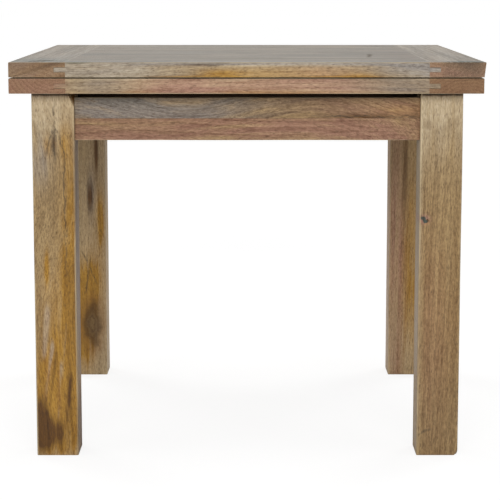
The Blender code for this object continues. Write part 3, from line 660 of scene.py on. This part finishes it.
for place, axis, wood in (
        ("rear", 0, dict(pith=(0.330, 0.58), sway=(0.010, 0.7, 0.1), log=8.8,
                         colour_marks=[(ROSE, 0.6, (0.1, 0.40, 0.66), (0.3, 0.2, 0.1))])),
        ("left", 1, dict(pith=(0.78, -0.36), sway=(0.012, 0.6, 0.0), log=12.3,
                         colour_marks=[(GREY, 0.6, (-0.40, -0.1, 0.68), (0.2, 0.2, 0.04))])),
        ("right", 1, dict(pith=(0.57, 0.35), sway=(0.010, 0.8, 0.2), log=15.1,
                          colour_marks=[(OCHRE, 0.5, (0.40, 0.1, 0.64), (0.2, 0.2, 0.03))]))):
    low, high = (list(corner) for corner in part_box("apron_" + place))
    low[axis] = -apron_end
    high[axis] = apron_end
    rings, arris, inset = planed_bar(low, high, axis, [APRON_ROUND] * 4, APRON_END_ROUND, APRON_MESH,
                                     APRON_UNEVEN, APRON_WAVE, wood["log"])
    board = closed_piece("apron_" + place + "_board", rings, mango_apron, "base", "mango_aprons",
                         "apron_" + place)
    as_timber(board, rings, axis, arris, inset * 0, **wood)


# Corner blocks
# Four blocks of planed beech across the corners of the frame, glued and screwed behind the aprons. Each holds
# the bolt that pulls its leg home. They are left unfinished, and only their sharp edges are taken off.
FRAME_CORNERS = (("front_left", -1, -1), ("front_right", 1, -1), ("rear_left", -1, 1), ("rear_right", 1, 1))
BLOCK_ARRIS = 0.0008
BLOCK_FACE = 0.4374
BLOCK_SCREW_OFF = 0.060
BLOCK_LEVEL = 0.6404
WOOD_SCREW_HEAD = 0.0042
WOOD_SCREW_SHANK = 0.0022
WOOD_SCREW_LENGTH = 0.030
WOOD_SCREW_SINK = 0.0002
SLOT_HALF_WIDTH_PER_HEAD = 0.16
SLOT_DEPTH_PER_HEAD = 0.30


def planed_beech(name, turn, pale_tone, brown_tone, line_tone, fleck_tone):
    """Beech, planed, bare or made near black as painted shade: faint growth lines 3 mm apart and short dark
    flecks.

    The eye gets a matt wood with its grain along one line, which a turn about the upright sets.
    Flecks are 2 mm long and 0.3 mm wide on real beech, and are drawn three times as large to show.
    """
    material, tree, shader = new_finish(name)
    place = node(tree, "Mapping", {"Vector": node(tree, "TexCoord").outputs["Object"],
                                   "Rotation": (0, 0, turn)})
    figure = {}
    for part, along, across, detail in (("line", 260, 3, 3), ("fleck", 6, 1, 1), ("tone", 180, 40, 2)):
        scale = (1000 / along, 1000 / across, 1000 / across)
        stretched = node(tree, "VectorMath", {0: place.outputs[0], 1: scale}, operation="MULTIPLY")
        figure[part] = node(tree, "TexNoise", {"Vector": stretched.outputs[0], "Scale": 1, "Detail": detail})
    pale = node(tree, "Mix", {0: figure["tone"].outputs[0], 6: linear(pale_tone), 7: linear(brown_tone)},
                data_type="RGBA")
    lined = node(tree, "MapRange", {"Value": figure["line"].outputs[0], "From Min": 0.4, "From Max": 0.65,
                                    "To Max": 0.6})
    colour = node(tree, "Mix", {0: lined.outputs[0], 6: pale.outputs[2], 7: linear(line_tone)},
                  data_type="RGBA")
    flecks = node(tree, "MapRange", {"Value": figure["fleck"].outputs[0], "From Min": 0.6, "From Max": 0.7,
                                     "To Max": 0.55})
    colour = node(tree, "Mix", {0: flecks.outputs[0], 6: colour.outputs[2], 7: linear(fleck_tone)},
                  data_type="RGBA")
    tree.links.new(colour.outputs[2], shader.inputs["Base Color"])
    dull = node(tree, "MapRange", {"Value": figure["line"].outputs[0], "To Min": 0.55, "To Max": 0.72})
    tree.links.new(dull.outputs[0], shader.inputs["Roughness"])
    relief = node(tree, "Bump", {"Height": figure["line"].outputs[0], "Strength": 0.3, "Distance": 0.0004})
    tree.links.new(relief.outputs[0], shader.inputs["Normal"])
    shader.inputs["Specular IOR Level"].default_value = 0.35
    return material


def zinc_plated_steel(name):
    """Steel screws and nuts, zinc plated: a bright grey with a cloudy bluish and yellowish passivated bloom.

    The eye gets a soft metal shine that varies in patches of 4 mm, and fine turning marks 0.4 mm apart.
    """
    material, tree, shader = new_finish(name)
    place = node(tree, "TexCoord").outputs["Object"]
    cloud = node(tree, "TexNoise", {"Vector": place, "Scale": 1000 / 4, "Detail": 3})
    marks = node(tree, "TexNoise", {"Vector": place, "Scale": 1000 / 0.4, "Detail": 1})
    colour = node(tree, "Mix", {0: cloud.outputs[0], 6: linear("#b4b9c2"), 7: linear("#c3bda6")},
                  data_type="RGBA")
    tree.links.new(colour.outputs[2], shader.inputs["Base Color"])
    shine = node(tree, "MapRange", {"Value": cloud.outputs[0], "To Min": 0.26, "To Max": 0.46})
    tree.links.new(shine.outputs[0], shader.inputs["Roughness"])
    relief = node(tree, "Bump", {"Height": marks.outputs[0], "Strength": 0.2, "Distance": 0.0001})
    tree.links.new(relief.outputs[0], shader.inputs["Normal"])
    shader.inputs["Metallic"].default_value = 1.0
    return material


def eased_node(name, width, material):
    """A CAD piece that keeps its shape: its triangles are joined, its edges eased, and it takes a finish."""
    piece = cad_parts[name]
    piece.modifiers.new("joined", "WELD").merge_threshold = 1e-6
    arris = piece.modifiers.new("arris", "BEVEL")
    arris.width = width
    arris.segments = 2
    arris.limit_method = "ANGLE"
    arris.angle_limit = np.radians(35)
    for held in piece.material_slots:
        held.material = material


def slotted_screw(name, place, facing, head, shank, length, turn, body, material, slot_name):
    """A countersunk slotted screw: rings of points about its axis, from the middle of the head to the tip.

    The rings run out over the flat head, down its cone, and along the shank to a point. Round each ring
    the angles gather at the slot's walls, where sin(angle) is the half slot over the radius.
    """
    half_slot = head * SLOT_HALF_WIDTH_PER_HEAD
    radius = np.array([0.08, 0.22, 0.55, 0.90, 0.99, 1.0, shank / head, shank / head, 0.05]) * head
    level = np.array([0, 0, 0, 0, -0.0001, -0.0003, shank - head, 0.004 - length, -length])
    wall = np.arcsin(np.minimum(half_slot / radius, 1))[:, None]
    quarter = np.linspace(0, 1, 6)[None]
    past_wall = wall + 0.02 + (np.pi - 2 * wall - 0.04) * quarter
    half_turn = np.concatenate([wall * np.array([[-1, 0, 1]]), past_wall], 1)
    angle = np.concatenate([half_turn, half_turn + np.pi], 1)
    in_slot = np.tile(np.arange(9) < 3, 2)[None] & (np.arange(9) < 5)[:, None]
    in_slot = in_slot | (radius < half_slot)[:, None]
    depth = level[:, None] - np.where(in_slot, head * SLOT_DEPTH_PER_HEAD, 0)
    axis = np.asarray(facing, float) / np.linalg.norm(facing)
    side = np.cross((0, 0, 1) if abs(axis[2]) < 0.9 else (0, 1, 0), axis)
    side /= np.linalg.norm(side)
    up = np.cross(axis, side)
    angle = angle + turn
    rings = (np.asarray(place, float) + depth[..., None] * axis
             + (radius[:, None] * np.cos(angle))[..., None] * side
             + (radius[:, None] * np.sin(angle))[..., None] * up)
    screw = closed_piece(name, rings[::-1], material, body, slot_name)
    screw.data.polygons.foreach_set("use_smooth", np.zeros(len(screw.data.polygons), bool))


zinc = zinc_plated_steel("zinc_plated_steel")
bare_beech = ("#c6a57b", "#b18a62", "#94704b", "#7a5433")
beech = {sign: planed_beech("planed_beech_" + name, sign * np.pi / 4, *bare_beech)
         for sign, name in ((1, "diagonal"), (-1, "other_diagonal"))}
for place, across, along in FRAME_CORNERS:
    eased_node("corner_block_" + place, BLOCK_ARRIS, beech[across * along])
    outward_way = np.array([across, along, 0]) / np.sqrt(2)
    sideways = np.array([-along, across, 0]) / np.sqrt(2)
    for number, off in ((1, -BLOCK_SCREW_OFF), (2, BLOCK_SCREW_OFF)):
        spot = outward_way * (BLOCK_FACE - WOOD_SCREW_SINK) + sideways * off + (0, 0, BLOCK_LEVEL)
        slotted_screw("block_screw_%s_%d" % (place, number), spot, -outward_way, WOOD_SCREW_HEAD,
                      WOOD_SCREW_SHANK, WOOD_SCREW_LENGTH, 0.7 * number + across, "base", zinc, "zinc_steel")


# Leg bolts
# Zinc-plated hanger bolts, screwed into the legs and passing through the corner blocks, each with a washer
# and a hexagon nut. The thread that stands out past the nut is rolled, with a pitch of 1.25 mm drawn as
# 1.6 mm.
BOLT_RADIUS = 0.0040
BOLT_TIP = 0.5024
BOLT_TAIL_END = 0.4214
THREAD_START = 0.4400
THREAD_PITCH = 0.0016
THREAD_DEPTH = 0.0006
NUT_ARRIS = 0.0004

for place, across, along in FRAME_CORNERS:
    # Radius along the bolt: pointed tip, plain shank, then a ridge that climbs one pitch in each turn
    way = -np.array([across, along, 0]) / np.sqrt(2)
    thread = spaced(BOLT_TIP - THREAD_START, BOLT_TIP - BOLT_TAIL_END - 0.0008, THREAD_PITCH / 8)
    run = np.concatenate([[0, 0.008, 0.012, thread[0] - 0.0004], thread, [BOLT_TIP - BOLT_TAIL_END]])
    around = np.linspace(0, 2 * np.pi, 24, endpoint=False)
    ridge = np.abs((run[:, None] / THREAD_PITCH - around[None] / (2 * np.pi)) % 1 - 0.5) * 2
    size = BOLT_RADIUS - THREAD_DEPTH * ridge * ((run >= thread[0]) & (run <= thread[-1]))[:, None]
    size[0] = 0.0004
    size[-1] = BOLT_RADIUS - 0.0010
    side = np.cross((0, 0, 1), way)
    rings = (-way * BOLT_TIP + np.array([0, 0, BLOCK_LEVEL]) + run[:, None, None] * way
             + (size * np.cos(around))[..., None] * side + (size * np.sin(around))[..., None] * (0, 0, 1))
    closed_piece("hanger_bolt_" + place, rings, zinc, "base", "zinc_steel", "leg_bolt_" + place)
    eased_node("leg_nut_" + place, NUT_ARRIS, zinc)


# Guide rails and felt
# Two beech rails, housed between the side aprons, each with a groove for a runner of the top, and coloured
# near black as painted shade for the gap under the top. A strip of pressed wool felt is glued along each, and
# the lower leaf slides on it.
RAIL_ARRIS = 0.0007
FELT_ROUND = 0.0008
FELT_UNEVEN = 0.0003
FELT_WAVE = 0.017
FELT_MESH = (0.003, 0.004)


def pressed_felt(name):
    """Wool felt, pressed and cut in strips: nearly black, matt, with a nap of short fibres lying every way.

    The eye gets soft flecks 2 mm across and a light fuzz; the fibres are 0.03 mm thick and drawn far coarser.
    """
    material, tree, shader = new_finish(name)
    place = node(tree, "TexCoord").outputs["Object"]
    nap = node(tree, "TexNoise", {"Vector": place, "Scale": 1000 / 2, "Detail": 5, "Roughness": 0.7,
                                  "Distortion": 1.5})
    colour = node(tree, "Mix", {0: nap.outputs[0], 6: linear("#231f1d"), 7: linear("#4a4541")},
                  data_type="RGBA")
    tree.links.new(colour.outputs[2], shader.inputs["Base Color"])
    relief = node(tree, "Bump", {"Height": nap.outputs[0], "Strength": 0.7, "Distance": 0.0006})
    tree.links.new(relief.outputs[0], shader.inputs["Normal"])
    shader.inputs["Roughness"].default_value = 0.95
    shader.inputs["Sheen Weight"].default_value = 0.4
    shader.inputs["Specular IOR Level"].default_value = 0.1
    return material


# Near-black beech for the rails: painted shade, for the dark gap under the top
shade_dark_beech = planed_beech("planed_beech_dark_as_painted_shade", 0, "#4a3524", "#3b2a1c", "#2c1e13", "#1f150d")
felt = pressed_felt("pressed_wool_felt")
for place in ("front", "rear"):
    eased_node("guide_rail_" + place, RAIL_ARRIS, shade_dark_beech)
    low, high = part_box("glide_felt_" + place)
    rings = planed_bar(low, high, 0, [FELT_ROUND] * 4, FELT_ROUND, FELT_MESH, FELT_UNEVEN, FELT_WAVE,
                       1.0 + (place == "rear"))[0]
    closed_piece("felt_strip_" + place, rings, felt, "base", "felt", "glide_felt_" + place)


# Runners
# Two beech runners screwed up under the lower leaf. A tongue on each sits in the groove of its guide rail, so
# the top can slide but can't lift off.
RUNNER_ARRIS = 0.0006
RUNNER_SCREWS = (-0.345, -0.265, -0.185, -0.105)
RUNNER_MIDDLE = 0.2560

beech_along = planed_beech("planed_beech_lengthwise", 0, *bare_beech)
for place, side in (("front", -1), ("rear", 1)):
    eased_node("runner_" + place, RUNNER_ARRIS, beech_along)
    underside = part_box("runner_" + place)[0][2]
    for number, across in enumerate(RUNNER_SCREWS, 1):
        spot = (across, side * RUNNER_MIDDLE, underside - WOOD_SCREW_SINK)
        slotted_screw("runner_screw_%s_%d" % (place, number), spot, (0, 0, -1), WOOD_SCREW_HEAD,
                      WOOD_SCREW_SHANK, WOOD_SCREW_LENGTH, 1.1 * number, "lower_leaf", zinc, "zinc_steel")


# Leaves
# Two square leaves, each of five mango planks edge to edge, with tongues let into a grooved end board at
# either end. The tongues show at the front edge, paler than the end grain round them. On the left, where the
# leaves are hinged, shallow beds for the plates and knuckles are cut in the facing sides of the end boards.
LEAF_ARRIS = 0.0016
GAP_ARRIS = 0.0004
END_ARRIS = 0.0007
JOINT_ARRIS = 0.0001
FREE_EDGE = 0.440
LEAF_UNEVEN = 0.00012
PLANK_WAVE = 0.33
END_BOARD_WAVE = 0.35
PLANK_MESH = (0.006, 0.007)
FRONT_PLANK_MESH = (0.0025, 0.004)
END_BOARD_MESH = (0.006, 0.007)
TONGUE_HALF = 0.00425
TONGUE_LENGTH = 0.0213
GROOVE_CLEARANCE = 0.0003
HINGE_PLACES = (-0.300, 0.0, 0.300)
BED_HALF_LENGTH = 0.0503
PLATE_BED_END = -0.4157
PLATE_BED_DEPTH = 0.0028
KNUCKLE_BED_END = -0.4441
KNUCKLE_BED_DEPTH = 0.0056
BED_WALL = 0.0003

# Oil and use have darkened the faces laid for dining, the top most and the two that face each other less;
# the grey on the top is partly that weathering and partly a painted reflection of the pale surround. Listed:
# the tones, how deep they go into the edges, and how much of either end keeps the end grain's own colour
PLANK_TONES = ((GREY, 0.50), (DARK, 0.32), (INK_AND_SHADE, 0.50))
END_TONES = ((GREY, 0.50), (DARK, 0.36), (INK_AND_SHADE, 0.46))
INNER_TONES = ((GREY, 0.25), (DARK, 0.32), (INK_AND_SHADE, 0.25))
TOP_TONE_DEPTH = 0.0009
INNER_TONE_DEPTH = 0.0005
END_GRAIN_REACH = 0.0012

mango_top = oiled_mango("mango_planed_and_oiled_planks", roughness=0.42, specular=0.42, ring_depth=0.18,
                        streak_depth=0.30, banded=0.40)
mango_ends = oiled_mango("mango_planed_and_oiled_end_boards", roughness=0.42, specular=0.42, ring_depth=0.10,
                         streak_depth=0.18, banded=0.20)
leaf_veins = {
    "upper_plank_1": [((-0.345, -0.440, 0.7692), (-0.290, -0.436, 0.7692), (0, 0, 1), 0.008),
                      ((-0.100, -0.450, 0.7640), (-0.050, -0.450, 0.7625), (0, -1, 0), 0.0012)],
    "upper_plank_2": [((0.2425, -0.235, 0.7692), (0.2585, -0.015, 0.7692), (0, 0, 1), 0.0030)],
    "upper_end_left": [((-0.420, -0.420, 0.7692), (-0.370, -0.360, 0.7692), (0, 0, 1), 0.010)],
    "upper_end_right": [((0.365, -0.440, 0.7692), (0.445, -0.440, 0.7692), (0, 0, 1), 0.012)],
}
leaf_stains = {
    "upper_plank_1": [(GREY, 0.6, (-0.270, -0.45, 0.755), (0.14, 0.06, 0.03)),
                      (SAPWOOD, 1.8, (-0.290, -0.45, 0.755), (0.10, 0.06, 0.03)),
                      (SAPWOOD, 0.6, (0.080, -0.45, 0.755), (0.20, 0.06, 0.03)),
                      (GREY, 1.0, (0.300, -0.45, 0.757), (0.06, 0.06, 0.02)),
                      (GREY, 1.3, (-0.030, -0.45, 0.7670), (0.16, 0.06, 0.0035)),
                      (SAPWOOD, 1.3, (-0.030, -0.45, 0.7670), (0.16, 0.06, 0.0035)),
                      (GREY, 1.0, (0.200, -0.45, 0.7665), (0.12, 0.06, 0.0040)),
                      (SAPWOOD, 4.0, (-0.360, -0.45, 0.755), (0.02, 0.06, 0.02)),
                      (SAPWOOD, 4.0, (0.350, -0.45, 0.755), (0.04, 0.06, 0.02)),
                      (GREY, 0.4, (-0.360, -0.45, 0.755), (0.02, 0.06, 0.02)),
                      (GREY, 0.7, (0.350, -0.45, 0.755), (0.03, 0.06, 0.02)),
                      (OCHRE, 0.75, (-0.055, -0.45, 0.7480), (0.045, 0.05, 0.0080)),
                      (OCHRE, 0.50, (0.035, -0.45, 0.7480), (0.075, 0.05, 0.0120)),
                      (OCHRE, 0.45, (0.130, -0.45, 0.7470), (0.070, 0.05, 0.0120)),
                      (ROSE, 0.4, (0.140, -0.45, 0.7500), (0.070, 0.05, 0.0120)),
                      (OCHRE, 0.80, (0.215, -0.45, 0.7440), (0.035, 0.05, 0.0055)),
                      (OCHRE, 1.5, (-0.090, -0.45, 0.7415), (0.090, 0.05, 0.0018)),
                      (OCHRE, 1.5, (0.190, -0.45, 0.7415), (0.070, 0.05, 0.0018)),
                      (DARK, 0.5, (-0.085, -0.45, 0.764), (0.040, 0.03, 0.003)),
                      (INK_AND_SHADE, 1.6, (-0.325, -0.445, 0.769), (0.022, 0.02, 0.002))],
    "upper_plank_3": [(ROSE, 0.8, (0.320, 0.04, 0.769), (0.030, 0.05, 0.003))],
    "lower_plank_1": [(SAPWOOD, 1.1, (0.0, -0.45, 0.724), (0.40, 0.08, 0.03)),
                      (ROSE, 0.90, (-0.125, -0.45, 0.724), (0.095, 0.08, 0.03)),
                      (ROSE, 0.65, (0.050, -0.45, 0.724), (0.110, 0.08, 0.03)),
                      (ROSE, 0.65, (0.180, -0.45, 0.724), (0.080, 0.08, 0.03)),
                      (OCHRE, 0.35, (0.0, -0.45, 0.722), (0.25, 0.05, 0.03)),
                      (SAPWOOD, 1.2, (0.020, -0.45, 0.7380), (0.28, 0.05, 0.0022)),
                      (ROSE, 0.9, (-0.357, -0.45, 0.724), (0.015, 0.05, 0.02)),
                      (GREY, 0.5, (-0.280, -0.45, 0.724), (0.05, 0.06, 0.03)),
                      (DARK, 0.20, (-0.280, -0.45, 0.724), (0.07, 0.06, 0.03)),
                      (GREY, 0.7, (0.310, -0.45, 0.724), (0.09, 0.06, 0.03)),
                      (DARK, 0.25, (0.300, -0.45, 0.724), (0.10, 0.06, 0.03)),
                      (OCHRE, 0.3, (0.300, -0.45, 0.724), (0.10, 0.06, 0.03)),
                      (OCHRE, 0.9, (0.0, -0.45, 0.711), (0.30, 0.05, 0.005))],
    "lower_end_left": [(ROSE, 0.8, (-0.40, -0.45, 0.724), (0.1, 0.2, 0.05))],
    "lower_end_right": [(ROSE, 0.4, (0.40, -0.45, 0.724), (0.1, 0.2, 0.05)),
                        (DARK, 0.5, (0.40, -0.45, 0.724), (0.05, 0.2, 0.05))],
    "upper_end_left": [(SAPWOOD, 0.5, (-0.400, -0.45, 0.752), (0.1, 0.02, 0.012)),
                       (OCHRE, 0.7, (-0.396, -0.45, 0.752), (0.008, 0.02, 0.008)),
                       (ROSE, 0.4, (-0.400, -0.45, 0.752), (0.04, 0.02, 0.02)),
                       (INK_AND_SHADE, 0.45, (-0.400, -0.380, 0.769), (0.080, 0.10, 0.003)),
                       (DARK, 1.4, (-0.356, -0.45, 0.7650), (0.016, 0.01, 0.0035)),
                       (INK_AND_SHADE, 0.8, (-0.356, -0.45, 0.7660), (0.016, 0.01, 0.0030)),
                       (GREY, 0.8, (-0.430, -0.45, 0.7580), (0.030, 0.01, 0.0150)),
                       (DARK, 1.2, (-0.352, -0.45, 0.7450), (0.012, 0.01, 0.004))],
    "upper_end_right": [(ROSE, 0.9, (0.40, -0.45, 0.750), (0.1, 0.05, 0.02)),
                        (SAPWOOD, 0.9, (0.40, -0.45, 0.752), (0.1, 0.02, 0.02)),
                        (INK_AND_SHADE, 1.2, (0.408, -0.440, 0.7695), (0.036, 0.03, 0.0017)),
                        (INK_AND_SHADE, 0.6, (0.434, -0.440, 0.7690), (0.014, 0.03, 0.0020))],
}
end_board_wood = {
    "lower_end_left": dict(pith=(0.79, -0.36), log=31.0),
    "lower_end_right": dict(pith=(0.66, 0.42), log=34.0),
    "upper_end_left": dict(pith=(0.70, -0.41), log=37.0),
    "upper_end_right": dict(pith=(0.81, 0.37), log=40.0),
}
for leaf in ("lower", "upper"):
    body = leaf + "_leaf"
    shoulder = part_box(leaf + "_end_right")[0][0]
    low_arris, high_arris = (LEAF_ARRIS, GAP_ARRIS) if leaf == "lower" else (GAP_ARRIS, LEAF_ARRIS)
    for count in range(1, 6):
        # Half thickness along a plank: tongue, shoulder with a small arris, full plank, and the same again
        name = "%s_plank_%d" % (leaf, count)
        low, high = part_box(name)
        middle = (low[2] + high[2]) / 2
        half = (high[2] - low[2]) / 2
        front_low, front_high = (low_arris, high_arris) if count == 1 else (JOINT_ARRIS, JOINT_ARRIS)
        rear_low, rear_high = (low_arris, high_arris) if count == 5 else (JOINT_ARRIS, JOINT_ARRIS)
        corners = [(low[1], -half), (high[1], -half), (high[1], half), (low[1], half)]
        radii = [front_low, rear_low, rear_high, front_high]
        mesh_across, mesh_along = FRONT_PLANK_MESH if count == 1 else PLANK_MESH
        outline, outward, arris = eased_outline(corners, radii, mesh_across)
        run = spaced(-shoulder + JOINT_ARRIS, shoulder - JOINT_ARRIS, mesh_along)
        along = np.concatenate([[low[0], -shoulder, -shoulder, -shoulder + JOINT_ARRIS / 2], run,
                                [shoulder - JOINT_ARRIS / 2, shoulder, shoulder, high[0]]])
        tongue = TONGUE_HALF / half
        step = JOINT_ARRIS / half
        thick = np.concatenate([[tongue, tongue, 1 - step, 1 - step / 2], np.ones(len(run)),
                                [1 - step / 2, 1 - step, tongue, tongue]])
        rings = carried(outline, outward, along, np.zeros(len(along)), 0)
        rings = planed_down(rings, outward, LEAF_UNEVEN, PLANK_WAVE, count + (leaf == "upper") * 7.0, 0)
        rings[..., 2] = middle + rings[..., 2] * thick[:, None]
        inner_face = high[2] if leaf == "lower" else low[2]
        colour_marks = list(leaf_stains.get(name, []))
        colour_marks += [(tone, amount, (0.0, 0.0, inner_face), (2.0, 2.0, INNER_TONE_DEPTH))
                   for tone, amount in INNER_TONES]
        if leaf == "upper":
            # The top's grey: partly weathering, partly a painted reflection of the pale surround
            colour_marks += [(tone, amount, (0.0, 0.0, high[2]), (2.0, 2.0, TOP_TONE_DEPTH))
                       for tone, amount in PLANK_TONES]
            colour_marks += [(DARK, 0.45, (0.320, -0.20, high[2]), (0.045, 0.40, TOP_TONE_DEPTH))]
        plank = closed_piece("board_" + name, rings, mango_top, body, "mango_planks", name)
        free_edge = np.abs(outline[:, 0]) > FREE_EDGE
        as_timber(plank, rings, 0, arris * free_edge, np.zeros(len(along)),
                  pith=((low[1] + high[1]) / 2 + 0.05 * (-1) ** count, middle - 0.06 - 0.02 * count),
                  sway=(0.010, 0.9, 0.1 * count), log=count * 2.7 + (leaf == "upper") * 20, colour_marks=colour_marks,
                  veins=leaf_veins.get(name, []))

    for side, out in (("left", -1), ("right", 1)):
        name = "%s_end_%s" % (leaf, side)
        low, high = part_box(name)
        middle = (low[2] + high[2]) / 2
        groove = TONGUE_HALF + GROOVE_CLEARANCE
        outer_high = high[0] if side == "right" else low[0]
        outer_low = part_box("lower_end_right")[1][0] if name == "upper_end_right" else outer_high
        inner = out * shoulder
        tip = inner + out * TONGUE_LENGTH
        corners = [(low[2], outer_low), (high[2], outer_high), (high[2], inner), (middle + groove, inner),
                   (middle + groove, tip), (middle - groove, tip), (middle - groove, inner), (low[2], inner)]
        radii = [low_arris, high_arris, JOINT_ARRIS, 0, 0, 0, 0, JOINT_ARRIS]
        bed = [KNUCKLE_BED_END, KNUCKLE_BED_END + BED_WALL, PLATE_BED_END, PLATE_BED_END + BED_WALL]
        if name == "lower_end_left":
            corners[2:2] = [(high[2], across) for across in bed]
            radii[2:2] = [0] * 4
        if name == "upper_end_left":
            corners += [(low[2], across) for across in bed[::-1]]
            radii += [0] * 4
        mesh_across, mesh_along = END_BOARD_MESH
        outline, outward, arris = eased_outline(corners, radii, mesh_across)
        in_groove = ((np.abs(outline[:, 1]) < abs(tip) + 1e-6)
                     & (np.abs(outline[:, 0] - middle) < groove + 1e-6))
        at_joint = (np.abs(outline[:, 1]) < abs(inner) + 2 * JOINT_ARRIS) & ~in_groove
        outward = outward * ~(in_groove | at_joint)[:, None]
        along, inset = eased_run(low[1], high[1], END_ARRIS, mesh_along)
        if side == "left":
            ends = [place + end * BED_HALF_LENGTH + wall for place in HINGE_PLACES for end in (-1, 1)
                    for wall in (0, end * BED_WALL)]
            inset = np.concatenate([inset, np.zeros(len(ends))])
            along = np.concatenate([along, ends])
            inset = inset[np.argsort(along)]
            along = np.sort(along)
        rings = carried(outline, outward, along, inset, 1)
        thinner = (1 - inset / (high[2] - middle))[:, None]
        rings[:, at_joint, 2] = middle + (rings[:, at_joint, 2] - middle) * thinner
        rings = planed_down(rings, outward, LEAF_UNEVEN, END_BOARD_WAVE, low[2] * 100 + inner * 9, 1)
        if side == "left":
            # Beds: the plate's strip drops straight in, and the strip at the end is squeezed to its own depth
            face, back = (high[2], low[2]) if leaf == "lower" else (low[2], high[2])
            at_hinge = np.min(np.abs(along[:, None] - np.array(HINGE_PLACES)), 1) < BED_HALF_LENGTH + 1e-6
            under_knuckle = at_hinge[:, None] & (outline[:, 1] < KNUCKLE_BED_END + 1e-6)
            under_plate = (at_hinge[:, None] & (outline[:, 1] < PLATE_BED_END + 1e-6)
                           & (outline[:, 1] > KNUCKLE_BED_END + 1e-6) & (np.abs(outline[:, 0] - face) < 1e-6))
            squeezed = back + (rings[..., 2] - back) * (1 - KNUCKLE_BED_DEPTH / abs(face - back))
            dropped = rings[..., 2] + np.sign(back - face) * PLATE_BED_DEPTH
            rings[..., 2] = np.where(under_knuckle, squeezed, np.where(under_plate, dropped, rings[..., 2]))
        # The darkened faces, each left out again at the very ends, where the end grain keeps its own colour
        colour_marks = list(leaf_stains[name])
        darkened = [(high[2] if leaf == "lower" else low[2], INNER_TONE_DEPTH, INNER_TONES)]
        if leaf == "upper":
            # The top's grey: partly weathering, partly a painted reflection of the pale surround
            darkened.append((high[2], TOP_TONE_DEPTH, END_TONES))
        for level, depth, tones in darkened:
            for tone, amount in tones:
                colour_marks.append((tone, amount, (0.0, 0.0, level), (2.0, 2.0, depth)))
                colour_marks += [(tone, -amount, (0.0, end, level), (2.0, END_GRAIN_REACH, depth))
                           for end in (low[1], high[1])]
        board = closed_piece("board_" + name, rings, mango_ends, body, "mango_end_boards", name)
        as_timber(board, rings, 1, arris * ~at_joint, inset, colour_marks=colour_marks, veins=leaf_veins.get(name, []),
                  **end_board_wood[name])


# Hinges
# Three brass flap hinges on the left: a plate let flush into each leaf with four countersunk screws, and a
# link that turns on a pin in either plate. Pressed and machined, then lacquered, with fine brushing along
# their length.
PLATE_ARRIS = 0.00025
PLATE_FACES = {"lower": (0.7384, 1), "upper": (0.7408, -1)}
SCREW_LINES = (-0.43455, -0.42555)
SCREW_SPACING = 0.026
SCREW_HEAD = 0.0034
SCREW_SHANK = 0.0019
SCREW_LENGTH = 0.016
SCREW_SINK = 0.00015


def brushed_brass(name, bright_tone, dull_tone):
    """Brass, machined and lacquered: warm yellow metal with brush lines 0.3 mm apart, dulled in patches.

    The eye gets a soft streaked shine along the hinge, browner where hands and oil have reached it.
    """
    material, tree, shader = new_finish(name)
    place = node(tree, "TexCoord").outputs["Object"]
    lines = node(tree, "VectorMath", {0: place, 1: (1000 / 0.3, 1000 / 30, 1000 / 0.3)}, operation="MULTIPLY")
    brushing = node(tree, "TexNoise", {"Vector": lines.outputs[0], "Scale": 1, "Detail": 2})
    tarnish = node(tree, "TexNoise", {"Vector": place, "Scale": 1000 / 14, "Detail": 4})
    dulled = node(tree, "MapRange", {"Value": tarnish.outputs[0], "From Min": 0.42, "From Max": 0.7,
                                     "To Max": 0.8})
    colour = node(tree, "Mix", {0: dulled.outputs[0], 6: linear(bright_tone), 7: linear(dull_tone)},
                  data_type="RGBA")
    tree.links.new(colour.outputs[2], shader.inputs["Base Color"])
    shine = node(tree, "MapRange", {"Value": brushing.outputs[0], "To Min": 0.22, "To Max": 0.42})
    tree.links.new(shine.outputs[0], shader.inputs["Roughness"])
    relief = node(tree, "Bump", {"Height": brushing.outputs[0], "Strength": 0.15, "Distance": 0.0001})
    tree.links.new(relief.outputs[0], shader.inputs["Normal"])
    shader.inputs["Metallic"].default_value = 1.0
    return material


brass = brushed_brass("brushed_and_lacquered_brass", "#bd9b5c", "#7d6138")
screw_brass = brushed_brass("turned_brass_of_the_screws", "#957643", "#5f4828")
for place, along in zip(("front", "middle", "rear"), HINGE_PLACES):
    eased_node("hinge_link_" + place, PLATE_ARRIS, brass)
    for leaf, (face, way) in PLATE_FACES.items():
        eased_node("hinge_plate_%s_%s" % (leaf, place), PLATE_ARRIS, brass)
        eased_node("hinge_pin_%s_%s" % (leaf, place), PLATE_ARRIS, brass)
        for number in range(4):
            spot = (SCREW_LINES[number % 2], along + (number - 1.5) * SCREW_SPACING, face - way * SCREW_SINK)
            slotted_screw("hinge_screw_%s_%s_%d" % (leaf, place, number + 1), spot, (0, 0, way), SCREW_HEAD,
                          SCREW_SHANK, SCREW_LENGTH, 0.9 * number + along * 4, leaf + "_leaf", screw_brass,
                          "brass")
